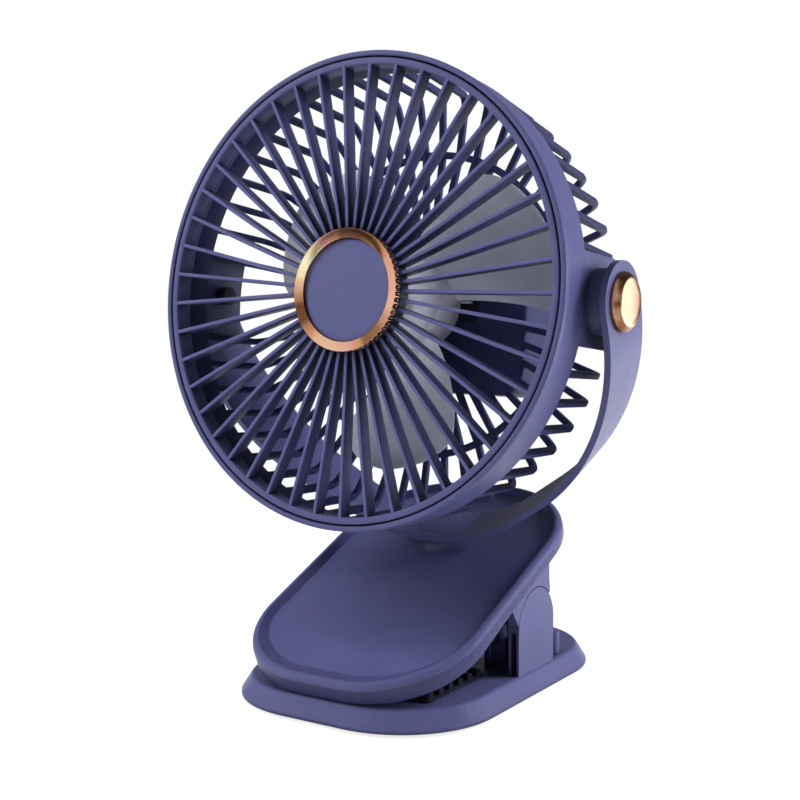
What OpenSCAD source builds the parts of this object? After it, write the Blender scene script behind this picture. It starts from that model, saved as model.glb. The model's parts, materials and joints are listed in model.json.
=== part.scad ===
// Portable camping fan: a round caged head, tilting in a yoke that swivels on a sprung clip-on base.
// Millimetres. +Z is up, the fan blows towards -Y, and the origin is the centre of the foot plane.

/* [Base] */
// Width of the base plate, side to side
base_w = 114; // [95:1:137]
// Length of the base plate, front to back
base_l = 160; // [134:1:195]
// Height of the base plate's top face above the ground
base_h = 9.2; // [8.5:0.1:11.2]
// Height of the rubber feet under the base
foot_h = 0.8; // [0.5:0.1:1.5]

/* [Clip] */
// Slope of the jaw and lean of the yoke, in degrees
jaw_slope = 21.5; // [18:0.1:25.8]
// Length of the jaw, front to back
jaw_l = 152; // [127:1:183]
// Depth of the jaw's raised rim above its dish
dish_d = 3; // [2.5:0.1:3.6]
// Depth of the jaw's skirt at its front edge
skirt_d = 7.6; // [6.5:0.1:9.2]
// Depth of the hinge pin's axis under the jaw's rim plane
pin_depth = 20.8; // [17.3:0.1:25]
// Radius of the hinge pin
pin_r = 2.5; // [2:0.1:3]
// Radius of the base ears' round tops
ear_r = 15.6; // [13.5:0.1:16.4]
// How far the clip opens, in degrees
clip_open = 28; // [10:1:28]

/* [Yoke] */
// Thickness of the yoke's band
yoke_t = 2.6; // [2.2:0.1:3.2]
// Half width of the yoke's band at its foot
yoke_foot_hw = 10.5; // [9.6:0.1:12.6]
// Radius of the yoke's round pads at the tilt axis
yoke_pad_r = 15.6; // [15:0.1:18.8]
// Gap between the yoke's foot and the jaw's rim plane
yoke_gap = 6.6; // [5.5:0.1:8]
// Gap between the head's corner and the yoke's foot
yoke_sweep_gap = 8.2; // [6.8:0.1:9.8]

/* [Head] */
// Outside diameter of the head's front lip
head_d = 190; // [158:1:228]
// Depth from the lip's front face to the tilt axis
head_front = 32; // [27:0.5:38.5]
// Depth of the shell's round band
band_d = 19; // [16:0.5:22]
// Depth from the tilt axis to the back of the rear cage
cage_back = 29; // [27:0.5:34]
// Upward tilt of the head at rest, in degrees
head_tilt = 7; // [0:1:15]
// Number of fins in the front grille
fin_n = 45; // [38:1:54]
// Depth of the grille's fins
fin_d = 6.5; // [5.5:0.1:7.8]
// Number of bars round the rear cage
bar_n = 48; // [40:4:56]
// Radius of the round badge in the grille
badge_r = 24.1; // [20:0.1:29]

/* [Rotor and motor] */
// Number of blades
blade_n = 3; // [3:1:5]
// Radius of the rotor as a share of the head's radius
rotor_share = 0.75; // [0.62:0.01:0.86]
// Outside radius of the rotor's hub
hub_r = 19.5; // [18.5:0.1:23]
// Radius of the motor's shaft
shaft_r = 1.5; // [1.2:0.1:1.8]

/* [Battery case] */
// Width of the case on the back of the cage
case_w = 98; // [90:1:112]
// Height of the case
case_h = 74; // [68:1:88]
// Radius of one battery cell
cell_r = 9.1; // [7.6:0.1:10.9]
// Length of one battery cell
cell_l = 65; // [54:1:66]
// Travel of the power button
press = 1.2; // [0.8:0.1:1.2]

/* [Hidden] */
$fn = 64;

// Named clearances
RUN = 0.06; // radial, shafts that turn in a bore
SEAT = 0.3; // between faces that stay apart
LOOSE = 0.35; // between walls that pass each other

// Base
wall = 2.4;
slope_in = 4;
lip_h = 1.4;
edge_h = 1; // rounded-off top edge
side_h = base_h - foot_h - lip_h - edge_h;
base_r = base_w * 0.368;
floor_t = 2;
floor_in = 0.9; // floor plate clear of the leaning side walls
ear_t = 5;
ear_x = base_w / 2 - slope_in - 0.5; // outer face of an ear

// Jaw: its own frame lies in the rim plane, x across, y to the rear, z up from the rim
jaw_w = 2 * ear_x;
jaw_r = jaw_w * 0.405;
plate_t = 2.2;
rim_w = 4;
skirt_mid = dish_d + plate_t + 0.2;
jaw_y = -6.9;
jaw_z = base_h + SEAT + skirt_d * cos(jaw_slope) + jaw_l / 2 * sin(jaw_slope);
pin_v = 8.4; // hinge pin's place along the jaw
lug_t = 4.6;
lug_x = ear_x - ear_t - LOOSE - 0.1; // outer face of a jaw lug
pin_y = jaw_y + pin_v * cos(jaw_slope) + pin_depth * sin(jaw_slope);
pin_z = jaw_z + pin_v * sin(jaw_slope) - pin_depth * cos(jaw_slope);
coil_r = 6.4;
wire_r = 0.9;
coil_n = 8;

// Swivel
pivot_v = jaw_l * 0.196; // swivel axis's place along the jaw
post_r = 8.5;
washer_t = 0.8;
swivel_r = 4;
foot_pad_r = 9.5;
foot_pad_t = yoke_t + 1.5;
nut_r = 7;
nut_t = 2.1;
cap_t = 0.7;

// Head
head_r = head_d / 2;
shell_t = 2.1;
band_r = head_r - 0.7;
sweep_r = norm([head_r, head_front]);
yoke_drop = sweep_r + yoke_sweep_gap + yoke_t; // tilt axis to the underside of the yoke's foot
yoke_r = head_r + 8.3; // outside radius of the yoke's band
axis_up = yoke_gap + yoke_drop; // tilt axis above the jaw's rim plane
boss_r = 12.8;
boss_x = yoke_r - yoke_t - washer_t; // outer face of a trunnion boss
trunnion_r = 4;
grille_r = head_r - 2.7;
grille_w = 2.9;
fin_t = 1.5;
ledge_y = -head_front + fin_d + 0.4;
cage_front = -head_front + band_d;
cage_t = 3.6;
bar_w = 2.5;
cage_out = band_r - 0.1;
cage_corner = cage_out - 3; // bars draw in by this much towards the back
corner_r = 7;
cage_face_t = 3;
dome = 12; // slope of the bars between the corner and the rear ring, in degrees
face_y = cage_back - cage_face_t; // front face of the cage's rear ring
wall_y = face_y - 0.3; // front face of the battery case's wall
rear_ring_r = head_r * 0.68;
tab_h = 36;
bar_turn = -1; // places the bars a little off the axes
tab_back = 14;

// Rotor and motor, all as depths behind the tilt axis
rotor_r = head_r * rotor_share;
hub_front = 6;
hub_back = wall_y - 2.6;
hub_t = 2.2;
flange_r = 16;
flange_t = 1.9;
stator_r = hub_r - hub_t - 3;
bearing_r = 5;
bearing_t = 3;
blade_t = 1.5;

// Battery case
case_r = 10;
case_t = 2.2;
cell_y = cage_back + 2.4 + cell_r;
board_y = cell_y + cell_r + 0.4;
board_t = 1.4;
cover_y = board_y + board_t + 4.8; // inner face of the rear cover
cover_t = 2.2;
button_z = 12;
button_r = 6.5;
lens_z = -8;

// ---------------------------------------------------------------- helpers

module rounded(w, l, r) {
    square([w - 2 * r, l], center = true);
    square([w, l - 2 * r], center = true);
    for (x = [-1, 1], y = [-1, 1])
        translate([x * (w / 2 - r), y * (l / 2 - r)]) circle(r);
}

// A plate with rounded corners whose sides lean in by `inset` over its height
module sloped_plate(w, l, r, h, inset) {
    for (x = [-1, 1], y = [-1, 1])
        translate([x * (w / 2 - r), y * (l / 2 - r), 0]) cylinder(r1 = r, r2 = r - inset, h = h);
    rotate([90, 0, 0])
        linear_extrude(l - 2 * r, center = true)
            polygon([[-w / 2, 0], [w / 2, 0], [w / 2 - inset, h], [-w / 2 + inset, h]]);
    rotate([90, 0, 90])
        linear_extrude(w - 2 * r, center = true)
            polygon([[-l / 2, 0], [l / 2, 0], [l / 2 - inset, h], [-l / 2 + inset, h]]);
}

module tube_x(r, x0, x1) translate([x0, 0, 0]) rotate([0, 90, 0]) cylinder(r = r, h = x1 - x0);
module disc(r, y0, y1) translate([0, y0, 0]) rotate([-90, 0, 0]) cylinder(r = r, h = y1 - y0);
module ring(r0, r1, y0, y1) difference() {
    disc(r1, y0, y1);
    disc(r0, y0 - 1, y1 + 1);
}
module slab(w, h, r, y0, y1)
    translate([0, y1, 0]) rotate([90, 0, 0]) linear_extrude(y1 - y0) rounded(w, h, r);

// Frames of the moving groups
module in_jaw() translate([0, jaw_y, jaw_z]) rotate([jaw_slope, 0, 0]) children();
module at_pin() translate([0, pin_y, pin_z]) children();
module in_swivel() in_jaw() translate([0, pivot_v, 0]) children();
module in_yoke() in_swivel() translate([0, 0, axis_up]) children();
module in_head() in_yoke() rotate([-jaw_slope - head_tilt, 0, 0]) children();

// A round wire along a list of points, closed at both ends
module wire(path, r, sides = 8) {
    n = len(path);
    function along(i) = let (d = path[min(i + 1, n - 1)] - path[max(i - 1, 0)]) d / norm(d);
    function across(i) = let (t = along(i), a = abs(t[0]) > 0.9 ? [0, 0, 1] : [1, 0, 0],
        c = cross(t, a)) c / norm(c);
    points = [for (i = [0:n - 1]) let (u = across(i), v = cross(along(i), u))
        for (k = [0:sides - 1]) path[i] + r * (cos(k * 360 / sides) * u + sin(k * 360 / sides) * v)];
    ends = [[for (k = [0:sides - 1]) k], [for (k = [sides - 1:-1:0]) (n - 1) * sides + k]];
    skin = [for (i = [0:n - 2], k = [0:sides - 1]) let (m = (k + 1) % sides)
        [i * sides + k, (i + 1) * sides + k, (i + 1) * sides + m, i * sides + m]];
    polyhedron(points, concat(ends, skin));
}

// ---------------------------------------------------------------- base

foot_x = base_w * 0.3;
foot_y = base_l * 0.34;
screw_y = base_l * 0.18;
foot_r = 7;
feet_at = [for (x = [-1, 1], y = [-1, 1]) [x * foot_x, y * foot_y, 0]];
base_screws_at = [for (x = [-1, 1], y = [-1, 1]) [x * foot_x, y * screw_y, 0]];

module base_ear() {
    at_pin() tube_x(ear_r, ear_x - ear_t, ear_x);
    translate([ear_x - ear_t, pin_y - ear_r, base_h - 1]) cube([ear_t, 2 * ear_r, pin_z - base_h + 1]);
}

module spring_rib(x) {
    translate([x - 1.25, pin_y - 9, base_h - 1]) cube([2.5, 18, pin_z - base_h + 1]);
    at_pin() tube_x(9, x - 1.25, x + 1.25);
}

rib_x = base_w * 0.3;
stop_h = 10;
stop_r = 3;
heel_r = 3; // round end of the jaw lug's heel
heel_at = (pin_z - base_h - SEAT - heel_r) / sin(60);
stop_y = pin_y + max(ear_r + 9, heel_at * cos(60 - clip_open) + heel_r + stop_r + 0.6);

module base_shell() color("#44456f") difference() {
    union() {
        difference() {
            union() {
                translate([0, 0, foot_h]) linear_extrude(lip_h + 0.01) rounded(base_w, base_l, base_r);
                translate([0, 0, foot_h + lip_h]) sloped_plate(base_w, base_l, base_r, side_h, slope_in);
                translate([0, 0, foot_h + lip_h + side_h])
                    sloped_plate(base_w - 2 * slope_in, base_l - 2 * slope_in, base_r - slope_in, edge_h, edge_h);
            }
            translate([0, 0, foot_h - 1])
                linear_extrude(lip_h + 1.01) rounded(base_w - 2 * wall, base_l - 2 * wall, base_r - wall);
            translate([0, 0, foot_h + lip_h])
                sloped_plate(base_w - 2 * wall, base_l - 2 * wall, base_r - wall,
                    base_h - foot_h - lip_h - wall, slope_in);
        }
        for (p = base_screws_at) translate([p[0], p[1], foot_h + floor_t]) cylinder(r = 3.5, h = base_h - foot_h - floor_t - 1);
        for (s = [0, 1]) mirror([s, 0, 0]) base_ear();
        for (s = [-1, 1]) spring_rib(s * rib_x);
        // posts that stop the jaw
        for (s = [-1, 1])
            translate([s * (ear_x - 5), stop_y, base_h - 1]) cylinder(r = stop_r, h = stop_h + 1);
    }
    at_pin() tube_x(pin_r, -ear_x + 1.6, ear_x - 1.6);
    for (p = base_screws_at) translate([p[0], p[1], foot_h]) cylinder(r = 1.2, h = base_h - foot_h - 1.6);
}

module base_floor() color("#33345a") difference() {
    translate([0, 0, foot_h])
        linear_extrude(floor_t)
            rounded(base_w - 2 * (wall + floor_in), base_l - 2 * (wall + floor_in), base_r - wall - floor_in);
    for (p = feet_at) translate([p[0], p[1], foot_h - 1]) cylinder(r = foot_r, h = 1.8);
    for (p = base_screws_at) translate([p[0], p[1], foot_h - 1]) {
        cylinder(r = 1.4, h = floor_t + 2);
        cylinder(r = 3, h = 2.1);
    }
}

module rubber_feet() color("#1b1b1e")
    for (p = feet_at) translate([p[0], p[1], 0]) cylinder(r = foot_r, h = foot_h + 0.8);

module base_screws() color("#8f9296")
    for (p = base_screws_at) translate([p[0], p[1], foot_h]) {
        translate([0, 0, 0.1]) cylinder(r = 2.7, h = 1);
        translate([0, 0, 0.1]) cylinder(r = 1.2, h = base_h - foot_h - 2.2);
    }

pad_w = base_w * 0.6;
pad_l = base_l * 0.28;
pad_t = 2.2;
tooth_n = 6;
tooth_w = pad_l / tooth_n / 2;

module lower_grip_pad() color("#1b1b1e") translate([0, -base_l * 0.36, base_h]) {
    translate([-pad_w / 2, 0, 0]) cube([pad_w, pad_l, pad_t]);
    for (i = [0:tooth_n - 1])
        translate([-pad_w / 2, (2 * i + 0.5) * tooth_w, 0]) cube([pad_w, tooth_w, pad_t + 1.2]);
}

// ---------------------------------------------------------------- clip hinge

module hinge_pin() color("#b9bcc0") at_pin() tube_x(pin_r, -ear_x + 1.8, ear_x - 1.8);

sleeve_r = coil_r - wire_r - 0.7;
module sleeve_bush(x0, x1) difference() {
    tube_x(sleeve_r, x0, x1);
    tube_x(pin_r + RUN, x0 - 1, x1 + 1);
}
module spring_sleeve() color("#6f7075") at_pin() sleeve_bush(-rib_x + 1.55, rib_x - 1.55);

// The coil with the leg that presses the base, and beside its end the leg that presses the jaw.
// Both legs run off the coil as tangents, behind the pin.
coil_pitch = 2.3;
coil_w = coil_n * coil_pitch;
leg_l = 30;
foot_leg = [leg_l - coil_r, base_h + wire_r + 0.3 - pin_z];
jaw_leg = let (v = leg_l + 4, w = pin_depth - dish_d - plate_t - wire_r - 0.3)
    [v * cos(jaw_slope) - w * sin(jaw_slope), v * sin(jaw_slope) + w * cos(jaw_slope)];
foot_a = atan2(foot_leg[1], foot_leg[0]) - acos(coil_r / norm(foot_leg));
jaw_a = atan2(jaw_leg[1], jaw_leg[0]) + acos(coil_r / norm(jaw_leg));
function on_coil(x, a) = [x, coil_r * cos(a), coil_r * sin(a)];

module torsion_spring() color("#c4c7cb") at_pin() {
    steps = 16 * coil_n;
    coil = [for (i = [0:steps]) on_coil(coil_w * (i / steps - 0.5), foot_a - 360 * coil_n * i / steps)];
    wire(concat([[-coil_w / 2, foot_leg[0], foot_leg[1]]], coil), wire_r);
}

module spring_leg() color("#c4c7cb") at_pin() {
    x = coil_w / 2 + coil_pitch;
    a0 = foot_a + 360;
    wire(concat([for (i = [0:6]) on_coil(x, a0 + (jaw_a - a0) * i / 6)], [[x, jaw_leg[0], jaw_leg[1]]]), wire_r);
}

// ---------------------------------------------------------------- jaw

// Height above the pin of a line 1 mm under the rim plane
function under_rim(y) = (pin_depth - 1 + y * sin(jaw_slope)) / cos(jaw_slope);
module jaw_cheek() at_pin() {
    // the wall that drops from the rim to embrace the ear
    y0 = -ear_r - 1.4;
    y1 = ear_r * 0.5;
    difference() {
        translate([ear_x - rim_w + 0.2, 0, 0])
            rotate([90, 0, 90])
                linear_extrude(rim_w - 0.2)
                    polygon([[y0 - 5, under_rim(y0 - 5) - 3], [y0 + 0.6, 3], [ear_r * 0.72, 10.5],
                        [y1, under_rim(y1)], [y0, under_rim(y0)]]);
        tube_x(ear_r + LOOSE, 0, base_w);
    }
}

// The lug's heel meets the base when the clip is fully open
module jaw_lug() {
    at_pin() translate([lug_x - lug_t, 0, 0]) rotate([90, 0, 90]) linear_extrude(lug_t) {
        circle(8.5);
        rotate(jaw_slope) translate([-8, 0]) square([16, pin_depth - dish_d - 0.5]);
        rotate(clip_open - 60) translate([0, -heel_r]) square([heel_at, 2 * heel_r]);
        rotate(clip_open - 60) translate([heel_at, 0]) circle(heel_r);
    }
}

module jaw_plate() difference() {
    translate([0, 0, -skirt_d]) linear_extrude(skirt_d) rounded(jaw_w, jaw_l, jaw_r);
    // the dish above and the hollow below
    translate([0, 0, -dish_d])
        linear_extrude(dish_d + 1) rounded(jaw_w - 2 * rim_w, jaw_l - 2 * rim_w, jaw_r - rim_w);
    translate([0, 0, -skirt_d - 1])
        linear_extrude(skirt_d + 1 - dish_d - plate_t)
            rounded(jaw_w - 2 * wall, jaw_l - 2 * wall, jaw_r - wall);
    // the skirt is shallower between its front and its rear end
    rotate([90, 0, 90]) linear_extrude(2 * jaw_w, center = true) polygon([
        [-jaw_l / 2 - 1, -skirt_d - 0.06], [-jaw_l * 0.16, -skirt_mid], [jaw_l * 0.2, -skirt_mid],
        [jaw_l / 2 + 1, -skirt_mid - 1.4], [jaw_l / 2 + 1, -40], [-jaw_l / 2 - 1, -40]
    ]);
}

module upper_jaw() color("#4b4c79") difference() {
    union() {
        difference() {
            in_jaw() jaw_plate();
            for (s = [0, 1]) mirror([s, 0, 0]) at_pin() tube_x(ear_r + LOOSE, ear_x - ear_t - LOOSE, base_w);
        }
        for (s = [0, 1]) mirror([s, 0, 0]) {
            jaw_cheek();
            jaw_lug();
        }
        in_swivel() translate([0, 0, -dish_d - plate_t]) cylinder(r = post_r, h = dish_d + plate_t + yoke_gap - washer_t);
        in_swivel() translate([0, 0, -dish_d - 0.5]) cylinder(r1 = post_r + 5, r2 = post_r - 0.5, h = dish_d + 4);
    }
    at_pin() tube_x(pin_r + RUN, -base_w, base_w);
    in_swivel() translate([0, 0, -20]) cylinder(r = swivel_r, h = 60);
}

upper_pad_l = pad_l * 0.9;
module upper_grip_pad() color("#1b1b1e") in_jaw()
    translate([-pad_w / 2, -jaw_l * 0.36, -dish_d - plate_t - pad_t]) {
        cube([pad_w, upper_pad_l, pad_t]);
        for (i = [0:tooth_n - 2])
            translate([0, (2 * i + 1) * tooth_w, -1]) cube([pad_w, tooth_w, pad_t]);
    }

// ---------------------------------------------------------------- swivel

screw_under = dish_d + plate_t;
module swivel_screw() color("#8f9296") in_swivel() {
    translate([0, 0, -screw_under - 2.4]) cylinder(r = 7, h = 2.4);
    translate([0, 0, -screw_under - 0.1]) cylinder(r = swivel_r, h = screw_under + yoke_gap + foot_pad_t - 0.3);
}
module swivel_washer() color("#26262a") in_swivel() translate([0, 0, yoke_gap - washer_t]) difference() {
    cylinder(r = post_r, h = washer_t - 0.05);
    translate([0, 0, -1]) cylinder(r = swivel_r + 0.2, h = 4);
}
module swivel_nut() color("#8f9296")
    in_swivel() translate([0, 0, yoke_gap + foot_pad_t - 0.3 - nut_t]) difference() {
        cylinder(r = nut_r, h = nut_t);
        translate([0, 0, -1]) cylinder(r = swivel_r, h = nut_t + 2);
    }

// ---------------------------------------------------------------- yoke

function blend(t) = (1 - cos(180 * t)) / 2;
yoke_mid_hw = yoke_pad_r - 0.2;
function yoke_hw(z) = z > -60 ? yoke_mid_hw + (yoke_pad_r - yoke_mid_hw) * blend((z + 60) / 60)
    : yoke_foot_hw + (yoke_mid_hw - yoke_foot_hw) * blend((z + yoke_drop) / (yoke_drop - 60));

// Outline of the band from the front: two side arcs and a tighter one at the foot, with straight runs between
side_arc_r = yoke_r * 0.99;
side_arc_at = [yoke_r - side_arc_r, -3];
foot_arc_r = yoke_r * 0.75;
foot_arc_at = [0, foot_arc_r - yoke_drop];
arc_step = side_arc_at - foot_arc_at;
run_a = acos((side_arc_r - foot_arc_r) / norm(arc_step)) - atan2(arc_step[0], arc_step[1]);
function on_arc(c, r, a) = c + (r - 0.02) * [sin(a), -cos(a)];

module yoke_band(in) {
    low = on_arc(foot_arc_at, foot_arc_r - in, run_a);
    high = on_arc(side_arc_at, side_arc_r - in, run_a);
    top = yoke_pad_r + 1;
    for (s = [0, 1]) mirror([s, 0]) {
        intersection() {
            translate(side_arc_at) circle(side_arc_r - in, $fn = 128);
            translate([0, -2 * yoke_drop]) square([2 * yoke_r, 2 * yoke_drop + side_arc_at[1]]);
        }
        polygon([[-1, low[1] + 5], low, high, [high[0] - 5, top], [-1, top]]);
        translate([-1, side_arc_at[1] - 1]) square([yoke_r - in + 1, top - side_arc_at[1] + 1]);
    }
    translate(foot_arc_at) intersection() {
        circle(foot_arc_r - in, $fn = 128);
        translate([-foot_arc_r, -2 * foot_arc_r]) square([2 * foot_arc_r, 1.9 * foot_arc_r]);
    }
}

module yoke_side() {
    zs = concat([for (z = [0:-10:-60]) z], [for (k = [1:8]) -60 - (yoke_drop - 54) * k / 8]);
    polygon(concat([for (z = zs) [yoke_hw(z), z]], [for (i = [len(zs) - 1:-1:0]) [-yoke_hw(zs[i]), zs[i]]]));
    circle(yoke_pad_r);
}

module yoke() color("#4b4c79") in_yoke() difference() {
    union() {
        intersection() {
            rotate([90, 0, 0]) linear_extrude(4 * yoke_pad_r, center = true) difference() {
                yoke_band(0);
                yoke_band(yoke_t);
            }
            rotate([90, 0, 90]) linear_extrude(3 * yoke_r, center = true) yoke_side();
        }
        translate([0, 0, -yoke_drop]) cylinder(r = foot_pad_r, h = foot_pad_t);
    }
    tube_x(trunnion_r + RUN, -yoke_r - 1, yoke_r + 1);
    // flat seats for the trunnion washers
    tube_x(boss_r + 1, -yoke_r + yoke_t + 0.05, yoke_r - yoke_t - 0.05);
    translate([0, 0, -yoke_drop - 1]) cylinder(r = swivel_r + RUN, h = 20);
    translate([0, 0, -yoke_drop + foot_pad_t - nut_t - 0.5]) cylinder(r = nut_r + 0.4, h = 10);
}

module swivel_cap() color("#4b4c79") in_yoke() translate([0, 0, -yoke_drop + foot_pad_t]) cylinder(r = 10, h = cap_t);

// ---------------------------------------------------------------- trunnions

cap_r = 11.4;
cap_h = 3.6;
head_screw_r = 6.5;
module trunnion_cap() difference() {
    translate([yoke_r, 0, 0]) rotate([0, 90, 0]) rotate_extrude($fn = 96) difference() {
        union() {
            square([cap_r - 1.4, cap_h]);
            square([cap_r, cap_h - 1.4]);
            translate([cap_r - 1.4, cap_h - 1.4]) circle(1.4, $fn = 32);
        }
        translate([-2, -1]) square([cap_r - 2.6 + 2, cap_h - 1 + 1]);
        translate([-5, -5]) square([5, 20]);
    }
}
module trunnion_screw() {
    tube_x(trunnion_r, head_r - shell_t - 6, yoke_r + 0.2);
    tube_x(head_screw_r, yoke_r + 0.15, yoke_r + 1.9);
}
module trunnion_washer() difference() {
    tube_x(boss_r - 1, boss_x, boss_x + washer_t - 0.2);
    tube_x(trunnion_r + 0.2, boss_x - 1, boss_x + 2);
}
module trunnion_cap_right() color("#d79a76") in_yoke() trunnion_cap();
module trunnion_cap_left() color("#d79a76") in_yoke() mirror([1, 0, 0]) trunnion_cap();
module trunnion_screw_right() color("#8f9296") in_head() trunnion_screw();
module trunnion_screw_left() color("#8f9296") in_head() mirror([1, 0, 0]) trunnion_screw();
module trunnion_washer_right() color("#26262a") in_head() trunnion_washer();
module trunnion_washer_left() color("#26262a") in_head() mirror([1, 0, 0]) trunnion_washer();

// ---------------------------------------------------------------- head shell and grille

module shell_turned() rotate([-90, 0, 0]) rotate_extrude($fn = 128) polygon([
    [head_r - 2.2, -head_front + 0.4], [head_r - 1.7, -head_front], [head_r - 0.7, -head_front],
    [head_r, -head_front + 0.8], [head_r, -head_front + 3.2], [band_r, -head_front + 4.2],
    [band_r, cage_front], [band_r - shell_t, cage_front], [band_r - shell_t, ledge_y + 1.6],
    [grille_r - grille_w, ledge_y + 1.6], [grille_r - grille_w, ledge_y], [head_r - 2.2, ledge_y]
]);

module shell_tab() intersection() {
    ring(band_r - shell_t, band_r, cage_front - 1, tab_back);
    translate([head_r * 0.5, cage_front - 2, -tab_h / 2]) cube([head_r, tab_back - cage_front + 4, tab_h]);
}

module front_shell() color("#4b4c79") in_head() difference() {
    union() {
        shell_turned();
        for (s = [0, 1]) mirror([s, 0, 0]) {
            shell_tab();
            tube_x(boss_r, head_r - 6, boss_x);
        }
    }
    disc(band_r - shell_t, ledge_y + 1.7, 40);
    tube_x(trunnion_r, -yoke_r, yoke_r);
}

module front_grille() color("#4b4c79") in_head() {
    ring(grille_r - grille_w, grille_r, -head_front + 0.2, ledge_y);
    difference() {
        disc(badge_r, -head_front, ledge_y);
        disc(badge_r - 2.4, -head_front + 2.4, ledge_y + 1);
    }
    for (i = [0:fin_n - 1])
        rotate([0, i * 360 / fin_n, 0])
            translate([badge_r - 1, -head_front + 0.3, -fin_t / 2])
                cube([grille_r - grille_w - badge_r + 1.6, fin_d - 0.3, fin_t]);
}

module badge_bezel() color("#d79a76") in_head() translate([0, -head_front, 0])
    rotate([-90, 0, 0]) rotate_extrude($fn = 96) polygon([
        [badge_r - 3.8, 0], [badge_r, 0], [badge_r, -2.4], [badge_r - 0.9, -3.3], [badge_r - 1.6, -3.3],
        [badge_r - 3.8, -2.2]
    ]);

module badge_plate() color("#5f6090") in_head() disc(badge_r - 3.85, -head_front - 2, -head_front);

// ---------------------------------------------------------------- rear cage

// One bar seen in the plane through the fan's axis: side, rounded corner, sloping shoulder, flat back
corner_y = cage_back - (cage_corner - corner_r + corner_r * sin(dome) - rear_ring_r) * tan(dome)
    - corner_r * cos(dome);
function corner_arc(r) = [for (k = [0:6]) let (a = k / 6 * (90 - dome))
    [cage_corner - corner_r + r * cos(a), corner_y + r * sin(a)]];
module bar_profile() {
    inner = corner_arc(corner_r - cage_face_t);
    in_r = case_h / 2 - 12;
    polygon(concat(
        [[cage_out - cage_t, cage_front + 0.2], [cage_out, cage_front + 0.2]],
        corner_arc(corner_r),
        [[rear_ring_r, cage_back], [in_r, cage_back], [in_r, face_y], [rear_ring_r, face_y]],
        [for (k = [6:-1:0]) inner[k]]
    ));
}

function beside_trunnion(a) = abs(abs(((a + 90) % 180) - 90)) < 15;

module cage_bars() for (i = [0:bar_n - 1]) {
    a = (i + 0.5) * 360 / bar_n;
    if (!beside_trunnion(a)) rotate([0, a + bar_turn, 0])
        translate([0, 0, -bar_w / 2]) linear_extrude(bar_w) bar_profile();
}

cover_screws_at = [for (x = [-1, 1], z = [-1, 1]) [x * (case_w / 2 - 6), 0, z * (case_h / 2 - 6)]];
motor_screws_at = [for (a = [30, 150, 270]) [11 * cos(a), 0, 11 * sin(a)]];
grommet_at = [22, 0, -0.5];
lead_up = 1.8; // leads above the grommet's middle
usb_y = board_y + board_t + 1.6;

module case_posts() for (p = cover_screws_at) translate(p) disc(3.2, cage_back - 1, cover_y);

module rear_cage() color("#3b3c66") in_head() difference() {
    union() {
        ring(cage_out - cage_t, band_r - shell_t - SEAT, ledge_y + 1.6, cage_front + 2);
        difference() {
            cage_bars();
            slab(case_w - 1, case_h - 1, case_r, face_y - 1, cage_back + 1);
        }
        ring(rear_ring_r - 1.5, rear_ring_r + 1.5, face_y + 0.3, cage_back - 0.3);
        difference() {
            slab(case_w, case_h, case_r, wall_y, cover_y);
            slab(case_w - 2 * case_t, case_h - 2 * case_t, case_r - case_t, cage_back, cover_y + 1);
        }
        case_posts();
    }
    for (p = motor_screws_at) translate(p) disc(1.5, wall_y - 1, cage_back + 1);
    for (p = cover_screws_at) translate(p) disc(1.1, cage_back + 8, cover_y + 1);
    translate(grommet_at) slab(7.1, 11.1, 1.55, wall_y - 1, cage_back + 1);
    translate([-4.9, usb_y - 1.9, -case_h / 2 - 1]) cube([9.8, 3.8, 4]);
}

module rear_cover() color("#3b3c66") in_head() difference() {
    union() {
        slab(case_w, case_h, case_r, cover_y, cover_y + cover_t);
        difference() {
            slab(case_w - 2 * case_t - 2 * SEAT, case_h - 2 * case_t - 2 * SEAT, case_r - case_t - SEAT,
                cover_y - 1.2, cover_y + 1);
            slab(case_w - 2 * case_t - 4, case_h - 2 * case_t - 4, case_r - case_t - 2, cover_y - 2, cover_y);
            for (p = cover_screws_at) translate(p) disc(3.6, cover_y - 3, cover_y);
        }
    }
    for (p = cover_screws_at) translate(p) {
        disc(1.4, cover_y - 3, cover_y + cover_t + 1);
        disc(2.8, cover_y + cover_t - 1.2, cover_y + cover_t + 1);
    }
    translate([0, 0, button_z]) disc(button_r + LOOSE, cover_y - 3, cover_y + cover_t + 1);
    translate([0, 0, lens_z]) slab(18, 4, 1.8, cover_y - 3, cover_y + cover_t + 1);
}

module cover_screws() color("#8f9296") in_head() for (p = cover_screws_at) translate(p) {
    disc(2.5, cover_y + cover_t - 1.2, cover_y + cover_t - 0.2);
    disc(1.1, cover_y - 8, cover_y + cover_t - 1);
}

module indicator_lens() color("#e9ebee") in_head() translate([0, 0, lens_z])
    slab(18, 4, 1.8, cover_y + 0.4, cover_y + cover_t + 0.1);

module power_button() color("#d79a76") in_head() translate([0, 0, button_z]) {
    disc(button_r + 1.6, cover_y - 1, cover_y - 0.2);
    disc(button_r, cover_y - 0.3, cover_y + cover_t + 0.9);
}

// ---------------------------------------------------------------- inside the case

cell_pitch = 2 * cell_r + 0.4;
module battery_cells() color("#3f7fbf") in_head()
    for (i = [-1:1]) translate([0, cell_y, i * cell_pitch]) tube_x(cell_r, -cell_l / 2, cell_l / 2);

module battery_holder() color("#26262a") in_head() {
    for (s = [0, 1]) mirror([s, 0, 0])
        translate([cell_l / 2, cage_back, -1.5 * cell_pitch]) cube([2, cell_y - cage_back + cell_r - 2, 3 * cell_pitch]);
    for (s = [0, 1]) mirror([0, 0, s])
        translate([-cell_l / 2 - 1, cage_back, 1.5 * cell_pitch - 1.4]) cube([cell_l + 2, 2.2, 1.4]);
}

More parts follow.
